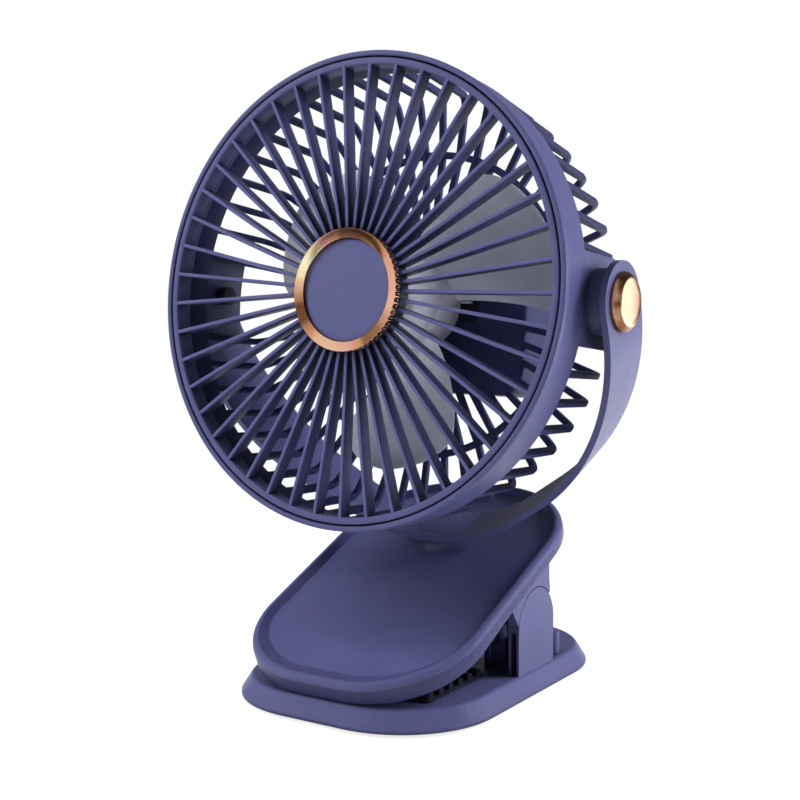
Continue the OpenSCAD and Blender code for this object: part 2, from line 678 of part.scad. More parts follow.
board_w = cell_l + 12;
board_top = case_h / 2 - 10;
board_low = -case_h / 2 + case_t + 3;
module circuit_board() color("#1f6b45") in_head() {
    translate([-board_w / 2, board_y, board_low]) cube([board_w, board_t, board_top - board_low]);
    // chips and the row of lamps behind the lens
    translate([-board_w / 2 + 6, board_y + board_t - 0.1, 0]) cube([10, 1.3, 8]);
    translate([board_w / 2 - 18, board_y + board_t - 0.1, -14]) cube([8, 1.6, 8]);
    for (i = [-1.5:1.5]) translate([i * 4 - 1, board_y + board_t - 0.1, lens_z - 1]) cube([2, 1.2, 2]);
    // two posts that carry it on the cage's back wall
    for (s = [0, 1]) mirror([s, 0, 0])
        translate([cell_l / 2 + 2 + SEAT, cage_back, board_top - 6]) cube([3.6, board_y - cage_back + 0.1, 4]);
}
module tact_switch() color("#26262a") in_head() translate([0, 0, button_z]) {
    translate([-3, board_y + board_t, -3]) cube([6, 1, 6]);
    disc(1.7, board_y + board_t + 0.9, cover_y - 1 - press - 0.2);
}
module usb_socket() color("#c4c7cb") in_head() difference() {
    translate([-4.5, usb_y - 1.6, -case_h / 2 + 0.3]) cube([9, 3.2, 7.4]);
    translate([-3.9, usb_y - 1, -case_h / 2 - 1]) cube([7.8, 2, 7.4]);
}

// ---------------------------------------------------------------- motor and rotor

module wire_grommet() color("#1b1b1e") in_head() translate(grommet_at) difference() {
    union() {
        slab(9, 13, 2, wall_y - 0.8, wall_y);
        slab(7, 11, 1.5, wall_y - 0.1, cage_back + 0.6);
    }
    translate([0.4, 0, lead_up]) slab(3.4, 2, 0.7, wall_y - 3, cage_back + 2);
    // channel for the lower lead
    translate([-6, wall_y - 1.2, lead_up - 0.8]) cube([6, 1.1, 1.6]);
}

// The leads come through the grommet side by side and run to the motor, one over the other
module motor_lead(x, y) {
    translate([x, 0, 0]) disc(0.52, y - 0.5, cage_back + 1.2);
    translate([0, y, 0]) tube_x(0.5, flange_r, x);
}
module motor_leads() color("#efefef") in_head() translate([0, 0, grommet_at[2] + lead_up]) {
    motor_lead(grommet_at[0] + 1.2, wall_y - 1.65);
    motor_lead(grommet_at[0] - 0.4, wall_y - 0.65);
}

module motor_stator() color("#b9bcc0") in_head() difference() {
    union() {
        disc(flange_r, wall_y - flange_t, wall_y);
        disc(stator_r, hub_front + 4.5, wall_y - flange_t + 0.1);
    }
    disc(bearing_r, 0, wall_y + 1);
    for (p = motor_screws_at) translate(p) disc(1.3, wall_y - 4.5, wall_y + 1);
}
module motor_screws() color("#8f9296") in_head() for (p = motor_screws_at) translate(p) {
    disc(1.3, wall_y - 4, cage_back + 0.1);
    disc(2.6, cage_back, cage_back + 1.6);
}
module bearing(y) ring(shaft_r + RUN, bearing_r, y, y + bearing_t);
module bearing_front() color("#c9ccd0") in_head() bearing(hub_front + 5);
module bearing_rear() color("#c9ccd0") in_head() bearing(wall_y - bearing_t - 0.4);
module motor_shaft() color("#d5d7da") in_head() disc(shaft_r, hub_front - 2, wall_y - 0.2);
module magnet_ring() color("#4a4d52") in_head()
    ring(stator_r + 0.8, hub_r - hub_t, hub_front + 2.6, hub_back - 1);

// Blade outline: both edges sweep back towards the tip, which is rounded
span = 75;
function edge_hi(f) = 80 - 28 * f - 26 * pow(max(f - 0.78, 0) / 0.22, 2.6);
function edge_lo(f) = 80 - span - 8 * f + 9 * pow(max(f - 0.8, 0) / 0.2, 2.6);
function blade_y(s, f) = hub_back - 2.2 - (hub_back - hub_front - 4) * (s + 0.16 * sin(180 * s)) * (1 - 0.12 * f);
function blade_point(r, s, side) = let (f = (r - hub_r) / (rotor_r - hub_r), g = max(f, 0),
    a = edge_lo(g) + s * (edge_hi(g) - edge_lo(g)), y = blade_y(s, g) + side * blade_t / 2)
    [r * cos(a), y, r * sin(a)];

module blade() {
    nr = 10;
    ns = 10;
    r0 = hub_r - 1;
    row = ns + 1;
    sheet = (nr + 1) * row;
    points = [for (side = [-1, 1], i = [0:nr], j = [0:ns])
        blade_point(r0 + (rotor_r - r0) * i / nr, j / ns, side)];
    front = [for (i = [0:nr - 1], j = [0:ns - 1], t = [0, 1]) let (p = i * row + j)
        t == 0 ? [p, p + 1, p + row] : [p + 1, p + row + 1, p + row]];
    back = [for (f = front) [f[0] + sheet, f[2] + sheet, f[1] + sheet]];
    rim = concat([for (j = [0:ns]) j], [for (i = [1:nr]) i * row + ns],
        [for (j = [ns - 1:-1:0]) nr * row + j], [for (i = [nr - 1:-1:1]) i * row]);
    edge = [for (k = [0:len(rim) - 1]) let (a = rim[k], b = rim[(k + 1) % len(rim)])
        [a, a + sheet, b + sheet, b]];
    polyhedron(points, concat(front, back, edge));
}

module rotor() color("#a9acb1") in_head() difference() {
    union() {
        difference() {
            disc(hub_r, hub_front, hub_back);
            disc(hub_r - hub_t, hub_front + 2.3, hub_back + 1);
        }
        disc(4.5, hub_front + 2, hub_front + 4);
        for (k = [0:blade_n - 1]) rotate([0, k * 360 / blade_n, 0]) blade();
    }
    disc(shaft_r, 0, hub_back + 1);
}
module rotor_nut() color("#8f9296") in_head() difference() {
    disc(4, hub_front - 2.6, hub_front);
    disc(shaft_r, hub_front - 2.2, hub_front + 1);
}

base_shell();
base_floor();
rubber_feet();
base_screws();
lower_grip_pad();
hinge_pin();
spring_sleeve();
torsion_spring();
spring_leg();
upper_jaw();
upper_grip_pad();
swivel_screw();
swivel_washer();
swivel_nut();
yoke();
swivel_cap();
trunnion_cap_left();
trunnion_cap_right();
trunnion_screw_left();
trunnion_screw_right();
trunnion_washer_left();
trunnion_washer_right();
front_shell();
front_grille();
badge_bezel();
badge_plate();
rear_cage();
rear_cover();
cover_screws();
indicator_lens();
power_button();
battery_cells();
battery_holder();
circuit_board();
tact_switch();
usb_socket();
wire_grommet();
motor_leads();
motor_stator();
motor_screws();
bearing_front();
bearing_rear();
motor_shaft();
magnet_ring();
rotor();
rotor_nut();
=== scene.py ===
import json
import math

import bmesh
import bpy
from mathutils import Matrix, Vector


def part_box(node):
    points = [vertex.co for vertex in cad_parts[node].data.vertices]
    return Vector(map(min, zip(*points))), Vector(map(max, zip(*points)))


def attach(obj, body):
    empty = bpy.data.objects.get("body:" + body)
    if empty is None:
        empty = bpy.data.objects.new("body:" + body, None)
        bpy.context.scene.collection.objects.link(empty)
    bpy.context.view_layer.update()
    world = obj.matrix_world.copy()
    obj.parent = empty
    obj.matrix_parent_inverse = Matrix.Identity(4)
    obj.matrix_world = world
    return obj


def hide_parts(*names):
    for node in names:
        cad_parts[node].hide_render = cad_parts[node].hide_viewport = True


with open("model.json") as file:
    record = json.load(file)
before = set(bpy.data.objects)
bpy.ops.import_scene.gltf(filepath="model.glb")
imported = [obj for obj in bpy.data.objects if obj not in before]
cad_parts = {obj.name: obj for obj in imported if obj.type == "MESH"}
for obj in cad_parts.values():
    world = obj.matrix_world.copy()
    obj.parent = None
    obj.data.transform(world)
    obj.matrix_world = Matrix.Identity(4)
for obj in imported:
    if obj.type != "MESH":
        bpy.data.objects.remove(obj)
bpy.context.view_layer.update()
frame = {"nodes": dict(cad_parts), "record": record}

# ---------------------------------------------------------------- sizes, in millimetres as in the CAD source

MM = 0.001
WALL = 2.4  # walls of the clip's mouldings
LOOSE = 0.35  # gap round parts that turn in each other
SEAT = 0.3  # gap under parts that rest on each other
WELD = 0.002  # points closer than this are one point

# base: plate, ears, the ribs and braces beside the spring, and the two stop posts
BASE_W, BASE_L, BASE_H, BASE_R, FOOT_H = 114.0, 160.0, 9.2, 41.95, 0.8
EAR_R, EAR_T, EAR_X = 15.6, 5.0, 52.5
RIB_R, RIB_T, RIB_X = 9.0, 2.5, 34.2
BRACE_L, BRACE_T, BRACE_X, BRACE_Y, BRACE_TOP = 10.0, 1.4, 36.0, 6.0, -9.0
POST_R, POST_X, POST_Y, POST_TOP = 3.0, 47.5, 24.6, 19.2
GRIP_HW, GRIP_T, GRIP_N = 39.6, 1.2, 6

# jaw: tray, cheeks, lugs and hinge; the tray is a little steeper than the jaw that carries it
JAW_SLOPE, TRAY_RISE, CLIP_OPEN = 21.5, 1.6, 28.0
JAW_W, JAW_L, JAW_R, JAW_Y = 105.0, 152.0, 42.525, -6.9
DISH_D, PLATE_T, SKIRT_D = 3.0, 2.2, 7.6
PIN_V, PIN_DEPTH = 8.4, 20.8
CHEEK_X, EAR_CUT_X = 48.7, 47.15
LUG_T, LUG_X, LUG_R, HEEL_R = 4.6, 47.05, 8.5, 3.0
COIL_R, WIRE_R, COIL_N, COIL_PITCH, LEG_L = 6.4, 0.9, 8, 2.3, 30.0
PIVOT_V = JAW_L * 0.196

# yoke and its rose-gold buttons
YOKE_GAP = 6.6
YOKE_T, YOKE_R, YOKE_DROP, PAD_R, FOOT_HW = 2.6, 103.3, 111.045, 15.6, 10.5
FOOT_PAD_T, FOOT_PAD_HL, SWIVEL_CAP_R = 4.1, 16.0, 9.2
CAP_R, CAP_H = 11.4, 3.6

# head: shell, grille and badge; Y runs backwards from the tilt axis
HEAD_TILT = 7.0
HEAD_R, HEAD_FRONT, BAND_R, SHELL_T = 95.0, 32.0, 94.3, 2.1
LEDGE_Y, CAGE_FRONT, TAB_BACK, TAB_H = -25.1, -13.0, 14.0, 36.0
BOSS_R, BOSS_X, BOSS_IN_X = 12.8, 99.9, 92.6
GRILLE_R, GRILLE_W, FIN_N, FIN_T = 92.3, 2.9, 45, 1.5
BADGE_R, RING_OUT, RING_IN = 24.1, 24.6, 20.5
KNURL_N, KNURL_D = 62, 0.55

# cage, battery case and its cover
BAR_N, BAR_W, CAGE_OUT, CAGE_T, CAGE_CORNER, CORNER_R = 48, 2.5, 94.2, 3.6, 91.2, 7.0
CAGE_BACK, FACE_Y, WALL_Y, REAR_RING_R, DOME = 29.0, 26.0, 25.7, 64.6, 12.0
CASE_W, CASE_H, CASE_R, CASE_T = 98.0, 74.0, 10.0, 2.2
COVER_Y, COVER_T, BUTTON_Z, BUTTON_R, LENS_Z = 56.2, 2.2, 12.0, 6.5, -8.0
USB_Y = 53.0

# rotor
ROTOR_R, HUB_R, HUB_T, HUB_FRONT, HUB_BACK = 71.25, 19.5, 2.2, 6.0, 23.1
SHAFT_R = 1.5
BLADE_N, BLADE_SPAN, BLADE_T = 3, 75.0, 1.5


def sin(a):
    return math.sin(math.radians(a))


def cos(a):
    return math.cos(math.radians(a))


def turned(deg, axis="X"):
    return Matrix.Rotation(math.radians(deg), 4, axis)


# The frames that the pieces are drawn in
JAW_Z = BASE_H + SEAT + SKIRT_D * cos(JAW_SLOPE) + JAW_L / 2 * sin(JAW_SLOPE)
PIN_Y = JAW_Y + PIN_V * cos(JAW_SLOPE) + PIN_DEPTH * sin(JAW_SLOPE)
PIN_Z = JAW_Z + PIN_V * sin(JAW_SLOPE) - PIN_DEPTH * cos(JAW_SLOPE)
GROUND = Matrix.Identity(4)
PIN = Matrix.Translation((0, PIN_Y, PIN_Z))
JAW = Matrix.Translation((0, JAW_Y, JAW_Z)) @ turned(JAW_SLOPE)
TRAY_TIP = Matrix.Translation((0, -JAW_L / 2, -SKIRT_D))
TRAY_TURN = TRAY_TIP @ turned(TRAY_RISE) @ TRAY_TIP.inverted()
SWIVEL = JAW @ Matrix.Translation((0, PIVOT_V, 0))
YOKE = SWIVEL @ Matrix.Translation((0, 0, YOKE_GAP + YOKE_DROP))
HEAD = YOKE @ turned(-JAW_SLOPE - HEAD_TILT)

# ---------------------------------------------------------------- materials

# Noise per metre: the slow drift of colour, its clouding, and the patches of wear
DRIFT, CLOUD, PATCH = 22.0, 160.0, 420.0
GRAIN_DEPTH = 0.04


def linear(code):
    """A "rrggbb" colour as the linear RGBA that a shader takes."""
    out = []
    for i in (0, 2, 4):
        c = int(code[i:i + 2], 16) / 255
        out.append(c / 12.92 if c <= 0.04045 else ((c + 0.055) / 1.055) ** 2.4)
    return (*out, 1.0)


class Nodes:
    """A short way to write a node tree. An input is a socket to link or a value to set."""

    def __init__(self, owner, output="ShaderNodeOutputMaterial"):
        owner.use_nodes = True
        self.owner, self.tree = owner, owner.node_tree
        self.tree.nodes.clear()
        self.out = self.add(output)

    def add(self, kind, inputs=None, **settings):
        node = self.tree.nodes.new(kind)
        for key, value in settings.items():
            setattr(node, key, value)
        for key, value in (inputs or {}).items():
            if isinstance(value, bpy.types.NodeSocket):
                self.tree.links.new(value, node.inputs[key])
            else:
                node.inputs[key].default_value = value
        return node

    def finish(self, shader):
        self.tree.links.new(shader.outputs[0], self.out.inputs[0])
        return self.owner

    def noise(self, vector, scale, detail=3.0, rough=0.55):
        inputs = {"Vector": vector, "Scale": scale, "Detail": detail, "Roughness": rough}
        return self.add("ShaderNodeTexNoise", inputs).outputs["Fac"]

    def spread(self, value, low, high, start=0.35, stop=0.65):
        """value's range from start to stop, clamped and mapped to low to high."""
        inputs = {"Value": value, "From Min": start, "From Max": stop, "To Min": low, "To Max": high}
        return self.add("ShaderNodeMapRange", inputs).outputs["Result"]

    def mix(self, factor, a, b):
        return self.add("ShaderNodeMix", {0: factor, 6: a, 7: b}, data_type="RGBA").outputs[2]

    def either(self, factor, a, b):
        return self.add("ShaderNodeMixShader", {0: factor, 1: a.outputs[0], 2: b.outputs[0]})

    def math(self, operation, a, b):
        return self.add("ShaderNodeMath", {0: a, 1: b}, operation=operation).outputs[0]

    def ramp(self, value, stops):
        node = self.add("ShaderNodeValToRGB", {"Fac": value})
        band = node.color_ramp
        band.interpolation = "EASE"
        for element, (at, code) in zip(band.elements, (stops[0], stops[-1])):
            element.position, element.color = at, linear(code)
        for at, code in stops[1:-1]:
            band.elements.new(at).color = linear(code)
        return node.outputs["Color"]


def surface(name, base, deep, worn, rough, grain=2600.0, relief=0.12, edge=0.5, wear=0.5, mottle=0.07,
            streak=None, painted_glints=None, painted_hollow_shade=None, **shader):
    """Moulded, rubber or metal skin: a slow drift from base to deep, fine grain in the relief, roughness that
    varies, and edges, `edge` mm wide, worn lighter. streak stretches the grain. fans is a frame and the stops of
    a sweep of colour round its axis, painted reflections. cavity is (amount, colour, reach in mm) of shade painted
    into hollows."""
    n = Nodes(bpy.data.materials.new(name))
    place = n.add("ShaderNodeTexCoord").outputs["Object"]
    grain_place = n.add("ShaderNodeMapping", {"Vector": place, "Scale": streak}).outputs[0] if streak else place
    cloud = n.noise(place, CLOUD, 4.0)
    fine = n.noise(grain_place, grain, 2.0, 0.6)
    tone = n.mix(n.spread(n.noise(place, DRIFT, 2.0), 0.0, 1.0, 0.3, 0.7), linear(base), linear(deep))
    tone = n.mix(n.spread(cloud, 0.0, mottle, 0.45, 0.75), tone, linear(worn))
    # Painted reflections: bright and dark sectors swept round the frame's axis.
    if painted_glints:
        middle, stops = painted_glints
        at = {"Vector": place, "Location": middle.to_translation() * MM, "Rotation": middle.to_euler()}
        around = n.add("ShaderNodeMapping", at, vector_type="TEXTURE").outputs[0]
        sweep = n.add("ShaderNodeTexGradient", {"Vector": around}, gradient_type="RADIAL").outputs["Fac"]
        tone = n.mix(0.96, tone, n.ramp(sweep, stops))
    # Painted shade: where other surfaces within reach hide the sky, the colour goes towards the shade colour.
    if painted_hollow_shade:
        amount, shade, reach = painted_hollow_shade
        open_sky = n.add("ShaderNodeAmbientOcclusion", {"Distance": reach * MM}, samples=6).outputs["AO"]
        tone = n.mix(n.spread(open_sky, amount, 0.0, 0.45, 0.94), tone, linear(shade))
    round_edge = n.add("ShaderNodeBevel", {"Radius": edge * MM}, samples=4).outputs[0]
    normal = n.add("ShaderNodeNewGeometry").outputs["Normal"]
    across = n.add("ShaderNodeVectorMath", {0: round_edge, 1: normal}, operation="DOT_PRODUCT").outputs["Value"]
    rim = n.spread(across, 1.0, 0.0, 0.82, 0.995)
    patches = n.spread(n.noise(place, PATCH, 3.0), 0.25, 1.0, 0.4, 0.62)
    tone = n.mix(n.math("MULTIPLY", n.math("MULTIPLY", rim, patches), wear), tone, linear(worn))
    shine = n.math("ADD", n.spread(cloud, rough - 0.035, rough + 0.045), n.spread(fine, -0.02, 0.02))
    bump = n.add("ShaderNodeBump", {"Strength": relief, "Distance": GRAIN_DEPTH * MM, "Height": fine,
                                    "Normal": round_edge}).outputs[0]
    sockets = {"Base Color": tone, "Roughness": shine, "Normal": bump}
    sockets.update((key.replace("_", " "), value) for key, value in shader.items())
    return n.finish(n.add("ShaderNodeBsdfPrincipled", sockets))


# Painted reflections: the sweep of light and dark round the spun ring, from nine o'clock by six o'clock round again
PAINTED_RING_GLINTS = [(0.0, "dba184"), (0.025, "b07c58"), (0.05, "6a3c22"), (0.09, "6e4228"), (0.125, "c88a66"), (0.17, "f4c49c"),
        (0.22, "f4c8a4"), (0.27, "f0b4a4"), (0.31, "d8a078"), (0.335, "8c6244"), (0.38, "94684a"), (0.42, "c89470"),
        (0.46, "e8b898"), (0.52, "e4a88c"), (0.58, "e0a488"), (0.63, "c08a60"), (0.68, "8a6038"), (0.71, "5e3c2a"),
        (0.77, "6a4632"), (0.80, "b07a62"), (0.835, "d89c94"), (0.87, "f0d8a8"), (0.92, "fff6cc"), (0.96, "f8e4b8"),
        (0.98, "e8b890"), (1.0, "dba184")]
RING_FRAME = HEAD @ Matrix.Translation((0, -HEAD_FRONT, 0)) @ turned(90)
GOLD_TONES = ("f3c9ab", "edbd9c")

# The navy plastic's hollows take painted shade, towards 1e1e3c within 8 mm.
NAVY = surface("navy_plastic", "545683", "4e507c", "8486b2", 0.34, relief=0.07, wear=0.4, edge=0.4,
               painted_hollow_shade=(0.8, "1e1e3c", 8), Specular_IOR_Level=0.3)
# The fins' copy of the navy: a lighter tone, with deeper shade painted into the hollows between the fins.
FIN_NAVY_PAINTED_SHADE = surface("fin_plastic_painted_shade", "5b5d8c", "555785", "8c8eba", 0.34, relief=0.06, wear=0.6, edge=0.35,
                   painted_hollow_shade=(0.95, "16162e", 14), Specular_IOR_Level=0.2)
# A darker copy of the navy, painted shade for the tray's inner slope and its skirt.
RIM_NAVY_PAINTED_SHADE = surface("rim_plastic_painted_shade", "42436d", "3d3e68", "474872", 0.3, relief=0.05, wear=0.1, edge=0.3, mottle=0.03,
                   Specular_IOR_Level=0.2)
DARK_NAVY = surface("dark_navy_plastic", "34365b", "303255", "70729e", 0.42, relief=0.08, wear=0.45, edge=0.4,
                    Specular_IOR_Level=0.1)
PLATE = surface("badge_plastic", "585b88", "565985", "74779f", 0.34, grain=3600.0, relief=0.04, wear=0.2,
                mottle=0.03, Specular_IOR_Level=0.3)
GOLD = surface("rose_gold", *GOLD_TONES, "ffe6c8", 0.17, grain=3000.0, relief=0.05, wear=0.4, edge=0.3,
               streak=(1.0, 0.12, 1.0), Metallic=1.0)
# The spun ring's gold, with the sweep of painted reflections round it.
SPUN_PAINTED_REFLECTION = surface("rose_gold_spun_painted_reflection", *GOLD_TONES, "fff0d8", 0.15, grain=3000.0, relief=0.02, wear=0.8, edge=0.3,
               painted_glints=(RING_FRAME, PAINTED_RING_GLINTS), Metallic=1.0)
# A darker gold with light blotches for the buttons' rounded sides: painted reflections.
GOLD_SIDE_PAINTED_REFLECTION = surface("rose_gold_side_painted_reflection", "a8714f", "7c4a32", "f6d4b4", 0.2, grain=3000.0, relief=0.04, wear=0.5,
                    edge=0.3, mottle=0.5, Metallic=1.0)
STEEL = surface("steel", "b8babd", "a8abb0", "dcdde0", 0.28, grain=2400.0, relief=0.1, wear=0.4,
                streak=(0.15, 1.0, 1.0), Metallic=1.0)
DARK_STEEL = surface("dark_steel", "34353f", "2d2e37", "5c5d68", 0.4, grain=2400.0, relief=0.08, wear=0.4,
                     Metallic=0.6)
BLACK = surface("black_plastic", "232328", "1c1c20", "4a4a52", 0.5, relief=0.16, wear=0.35)
RUBBER = surface("rubber", "1c1d2a", "171823", "3a3b4c", 0.7, grain=1500.0, relief=0.3, wear=0.3,
                 Specular_IOR_Level=0.2)
GREY = surface("rotor_grey", "e8e9f2", "dddeea", "f0f0f6", 0.22, grain=3200.0, relief=0.04, wear=0.4,
               Coat_Weight=0.5, Coat_Roughness=0.08)
LENS = surface("lens_white", "eceef0", "e2e5e8", "ffffff", 0.25, relief=0.05, wear=0.2, Subsurface_Weight=0.1)
WRAP = surface("cell_wrap", "3b74b4", "3569a6", "6b9ad0", 0.3, relief=0.06, wear=0.3)
GREEN = surface("board_green", "1f6b45", "185a39", "4a9870", 0.4, grain=1800.0, relief=0.15, wear=0.3)
LEAD = surface("lead_white", "e6e6e4", "dcdcda", "ffffff", 0.5, relief=0.1, wear=0.2)
IRON = surface("motor_iron", "8e9196", "7e8187", "b9bcc0", 0.38, grain=2000.0, relief=0.14, wear=0.4, Metallic=0.9)
SLOTS = {
    "navy_plastic": NAVY, "dark_navy_plastic": DARK_NAVY, "rubber": RUBBER, "steel": STEEL,
    "black_plastic": BLACK, "rose_gold": GOLD, "rotor_grey": GREY, "lens_white": LENS,
    "cell_wrap": WRAP, "board_green": GREEN, "lead_white": LEAD, "motor_iron": IRON,
}

# Every CAD node takes the material of its slot, but the tilt axis's screws and washers are darker steel.
for entry in frame["record"]["subparts"]:
    node = frame["nodes"][entry["node"]]
    node.data.materials.clear()
    dark = entry["node"].startswith("trunnion_")
    node.data.materials.append(DARK_STEEL if dark else SLOTS[entry["material_slot"]])

# ---------------------------------------------------------------- shape helpers


def scene_object(name, shape, place=GROUND):
    """Turns a bmesh into an object of the scene."""
    bmesh.ops.remove_doubles(shape, verts=shape.verts, dist=WELD)
    bmesh.ops.recalc_face_normals(shape, faces=shape.faces)
    shape.transform(place)
    mesh = bpy.data.meshes.new(name)
    shape.to_mesh(mesh)
    shape.free()
    thing = bpy.data.objects.new(name, mesh)
    bpy.context.scene.collection.objects.link(thing)
    return thing


def link(name, shape, place, body, slot, replaced=(), smooth=40.0, material=None):
    """Puts a bmesh, drawn in millimetres in the frame `place`, into the scene as a piece on `body`. It has its
    slot's material, or another one, and edges sharper than `smooth` degrees stay sharp."""
    piece = scene_object(name, shape, Matrix.Scale(MM, 4) @ place)
    piece.data.materials.append(material or SLOTS[slot])
    piece.data.shade_smooth()
    piece.data.set_sharp_from_angle(angle=math.radians(smooth))
    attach(piece, body)
    if replaced:
        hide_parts(*replaced)
    return piece


def soften(piece, width, angle, segments=2):
    """Rounds the edges sharper than `angle` degrees."""
    mod = piece.modifiers.new("edges", "BEVEL")
    mod.width = width * MM
    mod.segments = segments
    mod.limit_method = "ANGLE"
    mod.angle_limit = math.radians(angle)
    mod.harden_normals = True
    mod.miter_outer = "MITER_ARC"


def baked(piece):
    """Applies a piece's modifiers to its mesh."""
    graph = bpy.context.evaluated_depsgraph_get()
    mesh = bpy.data.meshes.new_from_object(piece.evaluated_get(graph))
    piece.modifiers.clear()
    old, piece.data = piece.data, mesh
    bpy.data.meshes.remove(old)


def cut(shape, *others):
    """shape with each of the other bmeshes taken away in turn; all in one frame, in millimetres."""
    body = scene_object("body", shape)
    for other in others:
        tool = scene_object("tool", other)
        mod = body.modifiers.new("step", "BOOLEAN")
        mod.operation = "DIFFERENCE"
        mod.solver = "EXACT"
        mod.object = tool
        baked(body)
        bpy.data.objects.remove(tool)
    out = bmesh.new()
    out.from_mesh(body.data)
    bpy.data.objects.remove(body)
    return out


def arc(r, start, stop, steps, middle=(0.0, 0.0)):
    """Points of a circle from start to stop degrees, both included."""
    angles = [start + (stop - start) * k / steps for k in range(steps + 1)]
    return [(middle[0] + r * cos(a), middle[1] + r * sin(a)) for a in angles]


def swung(points, deg):
    """Flat points turned about the origin."""
    return [(a * cos(deg) - b * sin(deg), a * sin(deg) + b * cos(deg)) for a, b in points]


def fillet(points, radius, steps=4):
    """A closed outline with its corners rounded; radius is one number or one per corner."""
    count = len(points)
    radii = radius if isinstance(radius, (list, tuple)) else [radius] * count
    out = []
    for i, r in enumerate(radii):
        p = Vector(points[i])
        u, v = Vector(points[i - 1]) - p, Vector(points[(i + 1) % count]) - p
        half = u.angle(v) / 2
        if r <= 0 or half > math.radians(87):
            out.append(tuple(p))
            continue
        t = min(r / math.tan(half), 0.49 * u.length, 0.49 * v.length)
        r = t * math.tan(half)
        middle = p + (u.normalized() + v.normalized()).normalized() * r / math.sin(half)
        a, b = p + u.normalized() * t - middle, p + v.normalized() * t - middle
        sweep = a.angle_signed(b)
        start = math.atan2(a.y, a.x)
        for k in range(steps + 1):
            angle = start - sweep * k / steps
            out.append((middle.x + r * math.cos(angle), middle.y + r * math.sin(angle)))
    return out


def loft(shape, loops, ring=False):
    """Skins loops of equal length, and caps both ends or joins them into a ring."""
    rows = [[shape.verts.new(p) for p in loop] for loop in loops]
    count = len(rows[0])
    pairs = list(zip(rows, rows[1:])) + ([(rows[-1], rows[0])] if ring else [])
    for a, b in pairs:
        for i in range(count):
            j = (i + 1) % count
            shape.faces.new((a[i], a[j], b[j], b[i]))
    if not ring:
        shape.faces.new(rows[0][::-1])
        shape.faces.new(rows[-1])
    return shape


def lathe(shape, profile, axis="Y", sides=96, span=None, wave=None, at=(0, 0, 0)):
    """Turns a closed (radius, place) outline round an axis through `at`. span gives a part turn in degrees, and
    wave(angle, radius, place) is added to each radius."""
    start, stop = span or (0, 360)
    steps = sides if span is None else max(2, int(sides * abs(stop - start) / 360))
    loops = []
    for k in range(steps if span is None else steps + 1):
        a = start + (stop - start) * k / steps
        loop = []
        for r, y in profile:
            r = r + (wave(a, r, y) if wave else 0)
            c, s = r * cos(a), r * sin(a)
            loop.append(Vector({"Y": (c, y, s), "X": (y, c, s), "Z": (c, s, y)}[axis]) + Vector(at))
        loops.append(loop)
    return loft(shape, loops, ring=span is None)


def prism(shape, outline, low, high, plane="XY"):
    put = {"XY": lambda a, b, h: (a, b, h), "YZ": lambda a, b, h: (h, a, b), "XZ": lambda a, b, h: (a, h, b)}[plane]
    return loft(shape, [[put(a, b, h) for a, b in outline] for h in (low, high)])


def box(a0, b0, a1, b1):
    """The corners of an upright rectangle."""
    return [(a0, b0), (a1, b0), (a1, b1), (a0, b1)]


def rounded_rect(w, l, r, inset=0.0, corner=18, long=14, short=6):
    """A rectangle with round corners, moved inwards by inset. The last three are the steps of each corner and side,
    the same for every inset, so that such outlines can be lofted."""
    hw, hl, r = w / 2 - inset, l / 2 - inset, max(r - inset, 0.4)
    out = []
    for k, (sx, sy) in enumerate(((1, 1), (-1, 1), (-1, -1), (1, -1))):
        out += arc(r, 90 * k, 90 * (k + 1), corner, (sx * (hw - r), sy * (hl - r)))
        nx, ny = ((-1, 1), (-1, -1), (1, -1), (1, 1))[k]
        a = out[-1]
        b = (nx * (hw - r) + r * cos(90 * (k + 1)), ny * (hl - r) + r * sin(90 * (k + 1)))
        n = long if k % 2 else short
        out += [(a[0] + (b[0] - a[0]) * i / n, a[1] + (b[1] - a[1]) * i / n) for i in range(1, n)]
    return out


def stack(w, l, r, rows, plane="XY", **steps):
    """A loft of rounded rectangles, one for each (inset, height)."""
    put = {"XY": lambda a, b, h: (a, b, h), "XZ": lambda a, b, h: (a, h, b)}[plane]
    return loft(bmesh.new(), [[put(a, b, h) for a, b in rounded_rect(w, l, r, inset, **steps)] for inset, h in rows])


def tube(shape, path, radius, sides=14):
    loops = []
    up = None
    for i, p in enumerate(path):
        t = (Vector(path[min(i + 1, len(path) - 1)]) - Vector(path[max(i - 1, 0)])).normalized()
        if up is None:
            up = t.cross(Vector((1, 0, 0)) if abs(t.x) < 0.9 else Vector((0, 0, 1))).normalized()
        up = (up - t * up.dot(t)).normalized()
        side = t.cross(up)
        loops.append([Vector(p) + radius * (cos(360 * k / sides) * up + sin(360 * k / sides) * side)
                      for k in range(sides)])
    return loft(shape, loops)


def blend(t):
    """A smooth step from 0 to 1."""
    return (1 - math.cos(math.pi * min(max(t, 0.0), 1.0))) / 2

# ---------------------------------------------------------------- base


